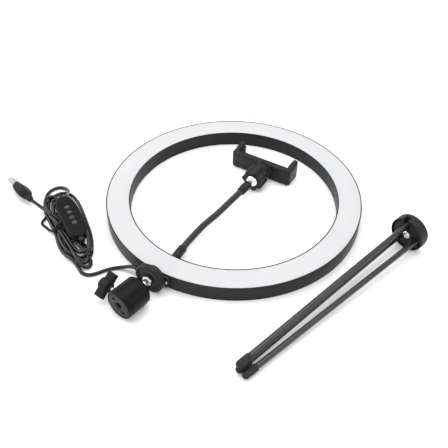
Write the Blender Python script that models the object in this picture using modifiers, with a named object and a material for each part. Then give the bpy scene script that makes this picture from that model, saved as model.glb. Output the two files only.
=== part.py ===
"""Ten-inch ring light kit lying on a table: the ring on its back with its ball head, a phone
holder on a gooseneck inside the ring, a USB cord with an inline controller in a tied hank,
and the folded table tripod beside it.  Metres, +Z up."""

import bmesh
import bpy
from math import asin, cos, pi, radians, sin, sqrt, tau
from mathutils import Matrix, Vector

# ---- driving dimensions ------------------------------------------------------------------
GAP = 0.0003                       # clearance left between touching pieces
FRAME_SHIFT = Vector((-0.0304, 0.0258, 0.0))   # centre of the ring in the part's frame

RING_OUTER = 0.1300                # radii of the ring's body
RING_INNER = 0.1060
RING_HEIGHT = 0.0163
RING_WALL = 0.0016
RIM_WALL = 0.0009                  # wall beside the diffuser
DIFFUSER_THICK = 0.0020
WEB_BOTTOM = 0.0060
WEB_THICK = 0.0018
COVER_THICK = 0.0020
RING_STEPS = 72                    # facets round the ring
BACK_SCREWS = 4

STUD_Z = 0.0150                    # height of the bracket and ball head above the table
BOSS_FACE = 0.1362                 # distance of the bracket's outer face from the ring's centre
DISC_RADIUS = 0.0148
DISC_BACK = BOSS_FACE + GAP
DISC_FACE = 0.1425
BALL_Y = -0.1596                   # centre of the ball head's ball
BALL_RADIUS = 0.0085
NECK_RADIUS = 0.0030

HEAD_RADIUS = 0.0143
HEAD_MOUTH = -0.0055               # stations along the head, from the ball to the base
HEAD_BASE = 0.0218
HEAD_BORE = 0.0096
HEAD_SOCKET = 0.00935              # spherical lip that keeps the ball in
BALL_PAD_THICK = 0.0004
BALL_PAD_SPAN = radians(36)
HEAD_YAW = radians(-96.7)          # where the head's base points
NOTCH_WIDTH = 0.0080
NOTCH_DROP = radians(30)           # how far below level the notch sits
BASE_PLATE_THICK = 0.0040
BASE_PLATE_RADIUS = 0.0122
SOCKET_RADIUS = 0.0033             # quarter-inch camera thread
BASE_SCREW_SPACING = 0.0156
CLAMP_STATION = 0.0118
KNOB_FACE = 0.0210                 # distances from the head's axis along the clamp screw
KNOB_END = 0.0320
WING_END = 0.0305
WING_SPAN = 0.0124
WING_THICK = 0.0052
WING_ANGLE = radians(39.5)
KNOB_HUB_RADIUS = 0.0062
CLAMP_SCREW_RADIUS = 0.0019

NECK_HOSE_RADIUS = 0.0034
LINK_CONE = 0.31                   # slope of a link's coned ends, room to bend by 30 degrees
NECK_FERRULE_RADIUS = 0.0044
TIP_FERRULE_RADIUS = 0.0046
TIP_BALL_RADIUS = 0.0072
NECK_ROOT = Vector((0.0, -0.1051, 0.0082))
NECK_FERRULE_END = Vector((-0.0025, -0.0820, 0.0082))
NECK_JOINTS = [
    Vector((-0.0030, -0.0740, 0.0083)),
    Vector((-0.0033, -0.0510, 0.0087)),
    Vector((-0.0010, -0.0280, 0.0095)),
    Vector((0.0004, -0.0050, 0.0110)),
]
TIP_BALL = Vector((0.0023, 0.0341, 0.0125))
HOLDER_YAW = radians(2.54)         # long direction of the phone clamp
CLAMP_FACE = 0.0225                # from the tip ball to the back of the clamp
CLAMP_DEPTH = 0.0075
CLAMP_HEIGHT = 0.0195
CLAMP_BOTTOM = 0.0004
JAW_REACH = 0.0205
JAW_THICK = 0.0058
JAW_HEIGHT = 0.0218
CLAMP_RIGHT = 0.0313               # ends of the clamp, along it from the ball's axis
CLAMP_SEAM = -0.0309
CLAMP_LEFT = -0.0393
TONGUE_END = 0.0020                # inner end of the sliding jaw's tongue
POCKET_END = 0.0092
PAD_THICK = 0.0013
COLLAR_RADIUS = 0.0121
COLLAR_LOBES = 7

CORD_RADIUS = 0.00175
CORD_EXIT = Vector((-0.0215, -0.1325, 0.0085))
HANK_HEIGHT = 0.0064
CONTROL_CENTRE = Vector((-0.1165, -0.1170, 0.0))
CONTROL_YAW = radians(-30)
CONTROL_LENGTH = 0.0640
CONTROL_WIDTH = 0.0220
CONTROL_HALF_HEIGHT = 0.0042
BUTTON_COUNT = 4
BUTTON_PITCH = 0.0082
BUTTON_SIZE = 0.0062
PLUG_TIP = Vector((-0.2108, -0.1051, 0.0082))
PLUG_YAW = radians(-17.4)          # from the plug's mouth to its tail
PLUG_ROLL = radians(-50)           # the plug lies tipped over, on one edge of its moulding
PLUG_SHELL_LENGTH = 0.0118

HUB_RADIUS = 0.0178
HUB_END = Vector((0.1738, 0.0513, 0.0184))     # middle of the hub's top plate
HUB_YAW = radians(-104.0)
HUB_DIP = radians(3.06)
HUB_CAP_LENGTH = 0.0084
HUB_LENGTH = 0.0116
HUB_SPIN = radians(13.8)
LEG_RADIUS = 0.0027
LEG_BORE = 0.0018
LEG_PIVOT_RADIUS = 0.0104
LEG_PIVOT_STATION = 0.0086
LEG_LENGTH = 0.2252
FOOT_RADIUS = 0.0035
FOOT_LENGTH = 0.0150
FOOT_SPREAD = (0.0062, 0.0024, 0.0059)          # how far each foot lies from the hub's axis


# ---- scene, collections and materials ----------------------------------------------------
def clear_scene():
    for obj in list(bpy.data.objects):
        bpy.data.objects.remove(obj, do_unlink=True)


def new_collection(name):
    group = bpy.data.collections.new(name)
    bpy.context.scene.collection.children.link(group)
    return group


clear_scene()
PARTS = new_collection("ring_light")
CUTTERS = new_collection("cutters")


def material(name, colour, roughness, metallic=0.0, glow=0.0):
    """Principled material, made once and then reused by name."""
    made = bpy.data.materials.get(name)
    if made:
        return made
    made = bpy.data.materials.new(name)
    made.use_nodes = True
    shader = made.node_tree.nodes["Principled BSDF"]
    shader.inputs["Base Color"].default_value = (*colour, 1.0)
    shader.inputs["Roughness"].default_value = roughness
    shader.inputs["Metallic"].default_value = metallic
    shader.inputs["Emission Color"].default_value = (*colour, 1.0)
    shader.inputs["Emission Strength"].default_value = glow
    made.diffuse_color = (*colour, 1.0)
    return made


def satin_black():
    return material("satin_black_plastic", (0.022, 0.022, 0.024), 0.45)


def matte_black():
    return material("matte_black_plastic", (0.016, 0.016, 0.018), 0.62)


def black_rubber():
    return material("black_rubber", (0.012, 0.012, 0.013), 0.75)


def black_paint():
    return material("black_painted_metal", (0.018, 0.018, 0.020), 0.33, 0.2)


def chrome():
    return material("chrome", (0.78, 0.78, 0.80), 0.12, 1.0)


def steel():
    return material("bright_steel", (0.62, 0.62, 0.63), 0.30, 1.0)


def brass():
    return material("brass", (0.72, 0.53, 0.25), 0.35, 1.0)


def nylon():
    return material("nylon", (0.75, 0.74, 0.70), 0.5)


def opal():
    return material("opal_diffuser", (0.90, 0.90, 0.92), 0.35, 0.0, 0.4)


def board_white():
    return material("white_circuit_board", (0.86, 0.86, 0.84), 0.55)


def board_green():
    return material("green_circuit_board", (0.05, 0.24, 0.12), 0.50)


# ---- bodies: one empty on each joint -----------------------------------------------------
BODY_AT = {}


def body(name, at, parent=None):
    """Empty that carries one rigid group; at is in the ring's own frame."""
    empty = bpy.data.objects.new(name + "_pivot", None)
    empty.empty_display_size = 0.01
    PARTS.objects.link(empty)
    BODY_AT[name] = Vector(at)
    if parent:
        empty.parent = bpy.data.objects[parent + "_pivot"]
        empty.location = Vector(at) - BODY_AT[parent]
    else:
        empty.location = Vector(at) + FRAME_SHIFT
    return name


def heading(direction, up=(0, 0, 1)):
    """Rotation whose Z axis points along direction and whose X axis is level or near up."""
    z = Vector(direction).normalized()
    x = Vector(up).cross(z)
    if x.length < 1e-6:
        x = Vector((1, 0, 0))
    x.normalize()
    y = z.cross(x)
    return Matrix((x, y, z)).transposed()


def yawed(angle):
    return Matrix.Rotation(angle, 3, "Z")


def settle(obj, group, at, turn=None):
    """Put obj on a body's empty, at a place and turn given in the ring's frame."""
    PARTS.objects.link(obj)
    obj.parent = bpy.data.objects[group + "_pivot"]
    obj.location = Vector(at) - BODY_AT[group]
    if turn is not None:
        obj.rotation_euler = turn.to_euler()
    return obj


def set_cutter(obj, at, turn=None):
    CUTTERS.objects.link(obj)
    obj.hide_render = True
    obj.display_type = "WIRE"
    obj.location = Vector(at) + FRAME_SHIFT
    if turn is not None:
        obj.rotation_euler = turn.to_euler()
    return obj


# ---- shape tools -------------------------------------------------------------------------
def finish_mesh(name, bm, paint=None, smooth=True):
    mesh = bpy.data.meshes.new(name)
    bm.to_mesh(mesh)
    bm.free()
    if smooth:
        mesh.shade_smooth()
        mesh.set_sharp_from_angle(angle=radians(35))
    obj = bpy.data.objects.new(name, mesh)
    if paint:
        mesh.materials.append(paint)
    return obj


def block(name, low, high, paint=None, bevel=0.0, segments=1):
    """Box between two corners of its own frame, with optional rounded edges."""
    bm = bmesh.new()
    bmesh.ops.create_cube(bm, size=1.0)
    low, high = Vector(low), Vector(high)
    size = high - low
    bmesh.ops.scale(bm, vec=size, verts=bm.verts)
    bmesh.ops.translate(bm, vec=(low + high) / 2, verts=bm.verts)
    obj = finish_mesh(name, bm, paint, smooth=bevel > 0)
    if bevel > 0:
        rounding = obj.modifiers.new("rounded_edges", "BEVEL")
        rounding.width = bevel
        rounding.segments = segments
        rounding.limit_method = "ANGLE"
    return obj


def rod(name, radius, low, high, paint=None, sides=16):
    """Cylinder along its own Z, from station low to station high."""
    bm = bmesh.new()
    bmesh.ops.create_cone(bm, cap_ends=True, segments=sides, radius1=radius, radius2=radius,
                          depth=high - low)
    bmesh.ops.translate(bm, vec=(0, 0, (low + high) / 2), verts=bm.verts)
    return finish_mesh(name, bm, paint)


def turned(name, profile, paint=None, steps=24, closed=False):
    """Profile of (radius, station) points turned about Z, given from the top down its outside."""
    mesh = bpy.data.meshes.new(name)
    edges = [(i, i + 1) for i in range(len(profile) - 1)]
    if closed:
        edges.append((len(profile) - 1, 0))
    mesh.from_pydata([(r, 0.0, z) for r, z in profile], edges, [])
    if paint:
        mesh.materials.append(paint)
    obj = bpy.data.objects.new(name, mesh)
    screw = obj.modifiers.new("turn", "SCREW")
    screw.axis = "Z"
    screw.angle = tau
    screw.steps = steps
    screw.render_steps = steps
    screw.use_merge_vertices = True
    screw.merge_threshold = 0.00001
    screw.use_smooth_shade = True
    return obj


def arc(radius, centre, start, end, count):
    """Points of a circular arc in a profile, angles from the profile's outward direction."""
    angles = [start + (end - start) * i / count for i in range(count + 1)]
    return [(radius * cos(a), centre + radius * sin(a)) for a in angles]


def plate(name, points, thickness, paint=None, holes=()):
    """Flat outline extruded both ways by half its thickness."""
    curve = bpy.data.curves.new(name, "CURVE")
    curve.dimensions = "2D"
    curve.fill_mode = "BOTH"
    curve.extrude = thickness / 2
    for loop in (points, *holes):
        spline = curve.splines.new("POLY")
        spline.points.add(len(loop) - 1)
        for point, (x, y) in zip(spline.points, loop):
            point.co = (x, y, 0.0, 1.0)
        spline.use_cyclic_u = True
    obj = bpy.data.objects.new(name, curve)
    return meshed(obj, paint)


def tube(name, points, radius, paint=None):
    """Round wire through the points, with filled ends."""
    curve = bpy.data.curves.new(name, "CURVE")
    curve.dimensions = "3D"
    curve.bevel_depth = radius
    curve.bevel_resolution = 2
    curve.use_fill_caps = True
    spline = curve.splines.new("POLY")
    spline.points.add(len(points) - 1)
    for point, place in zip(spline.points, points):
        point.co = (*place, 1.0)
    obj = bpy.data.objects.new(name, curve)
    if paint:
        curve.materials.append(paint)
    return obj


def meshed(obj, paint=None):
    """Turn a curve object into a mesh object with welded caps."""
    bpy.context.scene.collection.objects.link(obj)
    bpy.context.view_layer.update()
    evaluated = obj.evaluated_get(bpy.context.evaluated_depsgraph_get())
    mesh = bpy.data.meshes.new_from_object(evaluated)
    bm = bmesh.new()
    bm.from_mesh(mesh)
    bmesh.ops.remove_doubles(bm, verts=bm.verts, dist=0.00001)
    bm.to_mesh(mesh)
    bm.free()
    name = obj.name
    bpy.data.objects.remove(obj, do_unlink=True)
    mesh.name = name
    mesh.materials.clear()
    if paint:
        mesh.materials.append(paint)
    return bpy.data.objects.new(name, mesh)


def combine(obj, other, operation="DIFFERENCE"):
    step = obj.modifiers.new(operation.lower(), "BOOLEAN")
    step.operation = operation
    step.object = other
    step.solver = "EXACT"


def smooth_route(points, spacing):
    """Evenly spaced points on a Catmull-Rom curve through the given route."""
    route = [Vector(p) for p in points]
    padded = [route[0] * 2 - route[1], *route, route[-1] * 2 - route[-2]]
    fine = []
    for a, b, c, d in zip(padded, padded[1:], padded[2:], padded[3:]):
        for i in range(12):
            t = i / 12
            fine.append(0.5 * (2 * b + (c - a) * t + (2 * a - 5 * b + 4 * c - d) * t * t
                               + (3 * b - a - 3 * c + d) * t ** 3))
    fine.append(route[-1])
    length = sum((q - p).length for p, q in zip(fine, fine[1:]))
    count = max(2, round(length / spacing))
    even, travelled, goal = [fine[0]], 0.0, length / count
    for p, q in zip(fine, fine[1:]):
        step = (q - p).length
        while travelled + step >= goal - 1e-9 and len(even) < count:
            even.append(p.lerp(q, (goal - travelled) / step))
            goal += length / count
        travelled += step
    even.append(fine[-1])
    return even


# ---- ring --------------------------------------------------------------------------------
def ring_profile():
    """H-shaped section: two walls joined by a web, with a ledge for the diffuser."""
    ledge = RING_HEIGHT - DIFFUSER_THICK - 0.0005
    web_top = WEB_BOTTOM + WEB_THICK
    wall_out = RING_OUTER - RING_WALL
    wall_in = RING_INNER + RING_WALL
    rim_out = RING_OUTER - RIM_WALL
    rim_in = RING_INNER + RIM_WALL
    return [
        (RING_OUTER, RING_HEIGHT), (RING_OUTER, 0.0), (wall_out, 0.0), (wall_out, WEB_BOTTOM),
        (wall_in, WEB_BOTTOM), (wall_in, 0.0), (RING_INNER, 0.0), (RING_INNER, RING_HEIGHT),
        (rim_in, RING_HEIGHT), (rim_in, ledge), (wall_in, ledge), (wall_in, web_top),
        (wall_out, web_top), (wall_out, ledge), (rim_out, ledge), (rim_out, RING_HEIGHT),
    ]


def washer_profile(inner, outer, low, high):
    return [(outer, high), (outer, low), (inner, low), (inner, high)]


def back_screw_places():
    middle = (RING_INNER + RING_OUTER) / 2
    angles = [pi / 4 + tau * i / BACK_SCREWS for i in range(BACK_SCREWS)]
    return [Vector((middle * cos(a), middle * sin(a), 0.0)) for a in angles]


def make_ring():
    light = body("light", (0, 0, 0))
    frame = settle(turned("ring_frame", ring_profile(), satin_black(), RING_STEPS, closed=True),
                   light, (0, 0, 0))
    inner = RING_INNER + RIM_WALL + GAP
    outer = RING_OUTER - RIM_WALL - GAP
    top = RING_HEIGHT - 0.0002
    diffuser = turned("diffuser", washer_profile(inner, outer, top - DIFFUSER_THICK, top),
                      opal(), RING_STEPS, closed=True)
    settle(diffuser, light, (0, 0, 0))
    web_top = WEB_BOTTOM + WEB_THICK + GAP
    board = turned("led_board", washer_profile(RING_INNER + 0.0040, RING_OUTER - 0.0040,
                                               web_top, web_top + 0.0012),
                   board_white(), 48, closed=True)
    settle(board, light, (0, 0, 0))
    cover = turned("back_cover", washer_profile(RING_INNER + RING_WALL + GAP,
                                                RING_OUTER - RING_WALL - GAP,
                                                0.0002, COVER_THICK),
                   matte_black(), RING_STEPS, closed=True)
    settle(cover, light, (0, 0, 0))
    driver = block("driver_board", (-0.012, -0.005, 0.0), (0.012, 0.005, 0.0014), board_green())
    settle(driver, light, (0.0, -(RING_INNER + RING_OUTER) / 2, COVER_THICK + 0.0012))
    for i, place in enumerate(back_screw_places()):
        head_seat = set_cutter(rod(f"screw_seat_{i}", 0.0025, -0.001, 0.0013), place)
        shank_hole = set_cutter(rod(f"screw_hole_{i}", 0.0015, 0.0, 0.0090, sides=12), place)
        combine(cover, head_seat)
        combine(cover, shank_hole)
        combine(frame, shank_hole)
        profile = [(0.0, WEB_BOTTOM + 0.0014), (0.0012, WEB_BOTTOM + 0.0014), (0.0012, 0.0010),
                   (0.0022, 0.0010), (0.0022, 0.0003), (0.0, 0.0003)]
        settle(turned(f"back_screw_{i + 1}", profile, steel(), 14), light, place)
    return light, frame


# ---- bracket and cord outlet on the ring's wall ------------------------------------------
def make_bracket(light, frame):
    toward = heading((0, -1, 0))
    saddle = block("mount_block", (-0.0142, -0.1318, 0.0020), (0.0142, -0.1270, 0.0150),
                   satin_black(), 0.0)
    settle(saddle, light, (0, 0, 0))
    boss = set_cutter(rod("boss_shape", 0.0090, 0.1312, BOSS_FACE, sides=24), (0, 0, STUD_Z),
                      toward)
    combine(saddle, boss, "UNION")
    hug = set_cutter(rod("ring_hug", RING_OUTER + GAP, -0.02, 0.05, sides=2 * RING_STEPS),
                     (0, 0, 0))
    combine(saddle, hug)
    insert_bore = set_cutter(rod("insert_bore", 0.0052, 0.1318, 0.1400, sides=20),
                             (0, 0, STUD_Z), toward)
    combine(saddle, insert_bore)
    insert = turned("threaded_insert",
                    washer_profile(NECK_RADIUS + GAP, 0.0049, 0.1322, BOSS_FACE - 0.0002),
                    brass(), 20, closed=True)
    settle(insert, light, (0, 0, STUD_Z), toward)
    for side, label in ((-1, "left"), (1, "right")):
        place = Vector((side * 0.0116, 0.0, 0.0095))
        hole = set_cutter(rod(f"bracket_hole_{label}", 0.0013, 0.1270, 0.1340, sides=12),
                          place, toward)
        combine(saddle, hole)
        combine(frame, hole)
        profile = [(0.0, 0.1330), (0.0017, 0.1326), (0.0020, 0.1321), (0.0010, 0.1321),
                   (0.0010, 0.1286), (0.0, 0.1286)]
        settle(turned(f"bracket_screw_{label}", profile, steel(), 14), light, place, toward)
    sleeve = [(0.0, 0.0215), (0.0021, 0.0215), (0.0024, 0.0148), (0.0, 0.0148)]
    settle(turned("cord_gland", sleeve, black_rubber(), 16), light,
           (0, CORD_EXIT.y, CORD_EXIT.z), heading((-1, 0, 0)))


# ---- ball head ---------------------------------------------------------------------------
def make_platform():
    """Round platform screwed to the bracket, with the ball on its stem."""
    platform = body("platform", (0, -DISC_BACK, STUD_Z), "light")
    toward = heading((0, -1, 0))
    recess = 0.0020
    disc = [
        (DISC_RADIUS - 0.0008, DISC_FACE), (DISC_RADIUS, DISC_FACE - 0.0008),
        (DISC_RADIUS, DISC_BACK + 0.0006), (DISC_RADIUS - 0.0006, DISC_BACK),
        (NECK_RADIUS + GAP, DISC_BACK), (NECK_RADIUS + GAP, DISC_FACE - recess),
        (DISC_RADIUS - 0.0024, DISC_FACE - recess), (DISC_RADIUS - 0.0018, DISC_FACE),
    ]
    settle(turned("platform_disc", disc, satin_black(), 32, closed=True), platform,
           (0, 0, STUD_Z), toward)
    ball = -BALL_Y
    seat = DISC_FACE - recess + GAP
    stem_angle = asin(0.0032 / BALL_RADIUS)
    profile = arc(BALL_RADIUS, ball, pi / 2, -pi / 2 + stem_angle, 10)
    profile[0] = (0.0, ball + BALL_RADIUS)
    profile += [(0.0032, seat + 0.0028), (0.0050, seat + 0.0028), (0.0050, seat),
                (NECK_RADIUS, seat), (NECK_RADIUS, 0.1325), (0.0, 0.1325)]
    settle(turned("ball_stud", profile, chrome(), 20), platform, (0, 0, STUD_Z), toward)


def head_directions():
    """Unit vectors of the head: to its base, to its right, and into its notch."""
    base = Vector((cos(HEAD_YAW), sin(HEAD_YAW), 0.0))
    right = Vector((cos(HEAD_YAW + pi / 2), sin(HEAD_YAW + pi / 2), 0.0))
    notch = right * cos(NOTCH_DROP) - Vector((0, 0, sin(NOTCH_DROP)))
    return base, right, notch


def make_head():
    centre = Vector((0, BALL_Y, STUD_Z))
    base, right, notch = head_directions()
    along = heading(base)
    pad_body = body("ball_pad", centre, "platform")
    head = body("ball_head", centre, pad_body)

    inner, outer = BALL_RADIUS + GAP, BALL_RADIUS + GAP + BALL_PAD_THICK
    start, end = pi / 2 - BALL_PAD_SPAN, pi / 2
    cup = arc(outer, 0.0, end, start, 5) + arc(inner, 0.0, start, end, 5)
    cup[0] = (0.0, outer)
    cup[-1] = (0.0, inner)
    settle(turned("ball_pad", cup, nylon(), 20), pad_body, centre, heading((0, -1, 0)))

    floor = HEAD_BASE - BASE_PLATE_THICK
    shell = [
        (HEAD_RADIUS, HEAD_BASE - 0.0008), (HEAD_RADIUS, HEAD_MOUTH + 0.0025),
        (HEAD_RADIUS - 0.0022, HEAD_MOUTH),
        *arc(HEAD_SOCKET, 0.0, asin(HEAD_MOUTH / HEAD_SOCKET), radians(-6), 4),
        (HEAD_BORE, 0.0), (HEAD_BORE, floor - GAP), (BASE_PLATE_RADIUS + GAP, floor - GAP),
        (BASE_PLATE_RADIUS + GAP, HEAD_BASE), (HEAD_RADIUS - 0.0008, HEAD_BASE),
    ]
    housing = settle(turned("head_housing", shell, satin_black(), 32, closed=True), head,
                     centre, along)
    slot = block("notch_slot", (-NOTCH_WIDTH / 2, 0.0, -0.02), (NOTCH_WIDTH / 2, 0.02, 0.0))
    across = notch.cross(base)
    notch_turn = Matrix((across, notch, base)).transposed()
    combine(housing, set_cutter(slot, centre, notch_turn))
    bottom = rod("notch_bottom", NOTCH_WIDTH / 2, 0.0, 0.02, sides=20)
    combine(housing, set_cutter(bottom, centre, heading(notch)))

    clamp_at = centre + base * CLAMP_STATION
    left = -right
    hole = rod("clamp_hole", CLAMP_SCREW_RADIUS + GAP, 0.004, 0.020, sides=16)
    combine(housing, set_cutter(hole, clamp_at, heading(left)))

    plate_disc = settle(rod("base_plate", BASE_PLATE_RADIUS, floor, HEAD_BASE - 0.0003,
                            satin_black(), 32), head, centre, along)
    socket = rod("camera_socket", SOCKET_RADIUS, floor - 0.001, HEAD_BASE + 0.001, sides=20)
    combine(plate_disc, set_cutter(socket, centre, along))
    line = right * cos(pi / 4) - Vector((0, 0, sin(pi / 4)))
    for i, side in enumerate((-1, 1)):
        place = centre + line * side * BASE_SCREW_SPACING / 2
        seat = rod(f"base_screw_seat_{i}", 0.0016, HEAD_BASE - 0.0022, HEAD_BASE + 0.001,
                   sides=14)
        combine(plate_disc, set_cutter(seat, place, along))
        screw = rod(f"base_screw_{i + 1}", 0.0013, HEAD_BASE - 0.0019, HEAD_BASE - 0.0009,
                    black_paint(), 12)
        settle(screw, head, place, along)
    return clamp_at, left, base


def make_clamp_knob(clamp_at, left, base):
    knob_body = body("clamp_knob", clamp_at, "ball_head")
    out = heading(left)
    up = Vector((0, 0, 1))
    wing_dir = -base * cos(WING_ANGLE) + up * sin(WING_ANGLE)
    turn = Matrix((wing_dir, left.cross(wing_dir), left)).transposed()
    hub = rod("knob", KNOB_HUB_RADIUS, KNOB_FACE, KNOB_END, matte_black(), 20)
    settle(hub, knob_body, clamp_at, turn)
    for side in (-1, 1):
        ends = sorted((0.0, side * WING_SPAN))
        wing = block(f"wing_{side + 1}", (ends[0], -WING_THICK / 2, KNOB_FACE + 0.0002),
                     (ends[1], WING_THICK / 2, WING_END))
        combine(hub, set_cutter(wing, clamp_at, turn), "UNION")
    bore = rod("knob_bore", CLAMP_SCREW_RADIUS + GAP, KNOB_FACE - 0.001, KNOB_FACE + 0.0085,
               sides=16)
    combine(hub, set_cutter(bore, clamp_at, turn))
    screw = rod("clamp_screw", CLAMP_SCREW_RADIUS, 0.0080, KNOB_FACE + 0.0080, steel(), 16)
    settle(screw, knob_body, clamp_at, out)


# ---- gooseneck ---------------------------------------------------------------------------
def link_profile(radius, length, start_gap, end_gap):
    """Hose link with coned ends, so that neighbours can bend without meeting."""
    cone = radius * LINK_CONE
    return [(0.0, length - end_gap), (radius, length - end_gap - cone),
            (radius, start_gap + cone), (0.0, start_gap)]


def make_neck(light):
    start, end = NECK_ROOT, NECK_JOINTS[0]
    way = (end - start).normalized()
    length = (end - start).length
    collar = (NECK_FERRULE_END - start).length
    cone = NECK_HOSE_RADIUS * LINK_CONE
    root = [(0.0, length - GAP / 2), (NECK_HOSE_RADIUS, length - GAP / 2 - cone),
            (NECK_HOSE_RADIUS, collar),
            (NECK_FERRULE_RADIUS, collar), (NECK_FERRULE_RADIUS, 0.0), (0.0, 0.0)]
    settle(turned("root_ferrule", root, satin_black(), 16), light, start, heading(way))
    parent = light
    for i, (a, b) in enumerate(zip(NECK_JOINTS, NECK_JOINTS[1:])):
        parent = body(f"neck_{i + 1}", a, parent)
        profile = link_profile(NECK_HOSE_RADIUS, (b - a).length, GAP / 2, GAP / 2)
        settle(turned(f"neck_link_{i + 1}", profile, matte_black(), 14), parent, a,
               heading(b - a))
    last = NECK_JOINTS[-1]
    tip = body("neck_tip", last, parent)
    span = (TIP_BALL - last).length
    shoulder = span - 0.0090
    ferrule_start = shoulder - 0.0165
    profile = [(0.0, shoulder), (TIP_FERRULE_RADIUS - 0.0006, shoulder),
               (TIP_FERRULE_RADIUS, shoulder - 0.0006), (TIP_FERRULE_RADIUS, ferrule_start),
               (NECK_HOSE_RADIUS, ferrule_start), (NECK_HOSE_RADIUS, GAP / 2 + cone),
               (0.0, GAP / 2)]
    along = heading(TIP_BALL - last)
    settle(turned("tip_ferrule", profile, satin_black(), 16), tip, last, along)
    stem = 0.0030
    opening = asin(stem / TIP_BALL_RADIUS)
    ball = arc(TIP_BALL_RADIUS, 0.0, pi / 2, -pi / 2 + opening, 10)
    ball[0] = (0.0, TIP_BALL_RADIUS)
    ball += [(stem, -0.0090 + GAP), (0.0, -0.0090 + GAP)]
    settle(turned("tip_ball", ball, chrome(), 20), tip, TIP_BALL, along)
    return tip


# ---- phone holder ------------------------------------------------------------------------
def make_holder(tip):
    """Clamp whose own frame has X along it, Y away from the gooseneck and Z up."""
    turn = yawed(HOLDER_YAW)
    reach = turn @ Vector((0, 1, 0))
    axis_turn = heading(reach)
    seat = body("holder_seat", TIP_BALL, tip)
    holder = body("holder", TIP_BALL, seat)

    liner = [(0.0083, 0.0042), (0.0083, 0.0014), (0.0077, 0.0014), (0.0066, 0.0042)]
    settle(turned("socket_liner", liner, nylon(), 24, closed=True), seat, TIP_BALL, axis_turn)

    drop = CLAMP_BOTTOM - TIP_BALL.z
    back = CLAMP_FACE
    spine = block("clamp_body", (CLAMP_SEAM + GAP, back, drop),
                  (CLAMP_RIGHT, back + CLAMP_DEPTH, drop + CLAMP_HEIGHT),
                  satin_black(), 0.0016, 1)
    settle(spine, holder, TIP_BALL, turn)
    jaw = block("fixed_jaw_shape", (CLAMP_RIGHT - JAW_THICK, back + 0.0004, drop + 0.0002),
                (CLAMP_RIGHT - 0.0002, back + JAW_REACH, drop + JAW_HEIGHT), None, 0.0012, 1)
    combine(spine, set_cutter(jaw, TIP_BALL, turn), "UNION")
    lip = 0.0046
    cup_radius = TIP_BALL_RADIUS + GAP
    boss_profile = [(0.0, back + 0.001), (0.0083, back + 0.001), (0.0083, lip)]
    boss_profile += arc(cup_radius, 0.0, asin(lip / cup_radius), pi / 2, 5)
    boss_profile[-1] = (0.0, cup_radius)
    boss = turned("socket_boss", boss_profile, None, 24)
    combine(spine, set_cutter(boss, TIP_BALL, axis_turn), "UNION")
    pocket = block("tongue_pocket", (CLAMP_SEAM - 0.001, back + 0.0019, drop + 0.0046),
                   (POCKET_END, back + 0.0056, drop + 0.0152))
    combine(spine, set_cutter(pocket, TIP_BALL, turn))
    pad = block("fixed_pad", (CLAMP_RIGHT - JAW_THICK - GAP - PAD_THICK, back + 0.0102, drop + 0.0040),
                (CLAMP_RIGHT - JAW_THICK - GAP, back + 0.0190, drop + 0.0180), black_rubber())
    settle(pad, holder, TIP_BALL, turn)
    settle(jaw_spring(back, drop), holder, TIP_BALL, turn)

    collar = body("lock_collar", TIP_BALL, holder)
    settle(lobed_collar(axis_turn), collar, TIP_BALL, axis_turn)

    slider = body("jaw", TIP_BALL + turn @ Vector((CLAMP_SEAM, back, 0.0)), holder)
    moving = block("sliding_jaw", (CLAMP_LEFT, back, drop),
                   (CLAMP_SEAM, back + CLAMP_DEPTH, drop + CLAMP_HEIGHT), satin_black(),
                   0.0016, 1)
    settle(moving, slider, TIP_BALL, turn)
    finger = block("sliding_jaw_shape", (CLAMP_LEFT + 0.0002, back + 0.0004, drop + 0.0002),
                   (CLAMP_LEFT + JAW_THICK, back + JAW_REACH, drop + JAW_HEIGHT), None,
                   0.0012, 1)
    combine(moving, set_cutter(finger, TIP_BALL, turn), "UNION")
    tongue = block("tongue_shape", (CLAMP_SEAM - 0.002, back + 0.0022, drop + 0.0049),
                   (TONGUE_END, back + 0.0053, drop + 0.0149))
    combine(moving, set_cutter(tongue, TIP_BALL, turn), "UNION")
    pad = block("jaw_pad", (CLAMP_LEFT + JAW_THICK + GAP, back + 0.0102, drop + 0.0040),
                (CLAMP_LEFT + JAW_THICK + GAP + PAD_THICK, back + 0.0190, drop + 0.0180),
                black_rubber())
    settle(pad, slider, TIP_BALL, turn)


def jaw_spring(back, drop):
    """Close-wound coil between the tongue's end and the end of its pocket."""
    turns, per_turn = 6, 8
    start, end, radius = TONGUE_END + 0.0008, POCKET_END - 0.0008, 0.0012
    middle_y = back + 0.00375
    middle_z = drop + 0.0099
    points = []
    for i in range(turns * per_turn + 1):
        angle = tau * i / per_turn
        along = start + (end - start) * i / (turns * per_turn)
        points.append((along, middle_y + radius * cos(angle), middle_z + radius * sin(angle)))
    spring = tube("jaw_spring", points, 0.00035, steel())
    spring.data.bevel_resolution = 0
    return spring


def lobed_collar(axis_turn):
    """Locking collar with finger lobes round a bored cup."""
    lobe_depth = 0.0011
    per_lobe = 6
    count = COLLAR_LOBES * per_lobe
    middle = COLLAR_RADIUS - lobe_depth
    outline = []
    for i in range(count):
        angle = tau * i / count
        radius = middle + lobe_depth * cos(COLLAR_LOBES * angle)
        outline.append((radius * cos(angle), radius * sin(angle)))
    front, rear = -0.0035, 0.0125
    ring = plate("lock_collar", outline, rear - front, satin_black())
    bm = bmesh.new()
    bm.from_mesh(ring.data)
    bmesh.ops.translate(bm, vec=(0, 0, (front + rear) / 2), verts=bm.verts)
    bm.to_mesh(ring.data)
    bm.free()
    bore_profile = [(0.0, rear + 0.001), (0.0087, rear + 0.001), (0.0087, -0.0004),
                    (0.0078, -0.0012), (0.0066, front), (0.0066, front - 0.001),
                    (0.0, front - 0.001)]
    bore = turned("collar_bore", bore_profile, None, 24)
    combine(ring, set_cutter(bore, TIP_BALL, axis_turn))
    return ring


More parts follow.
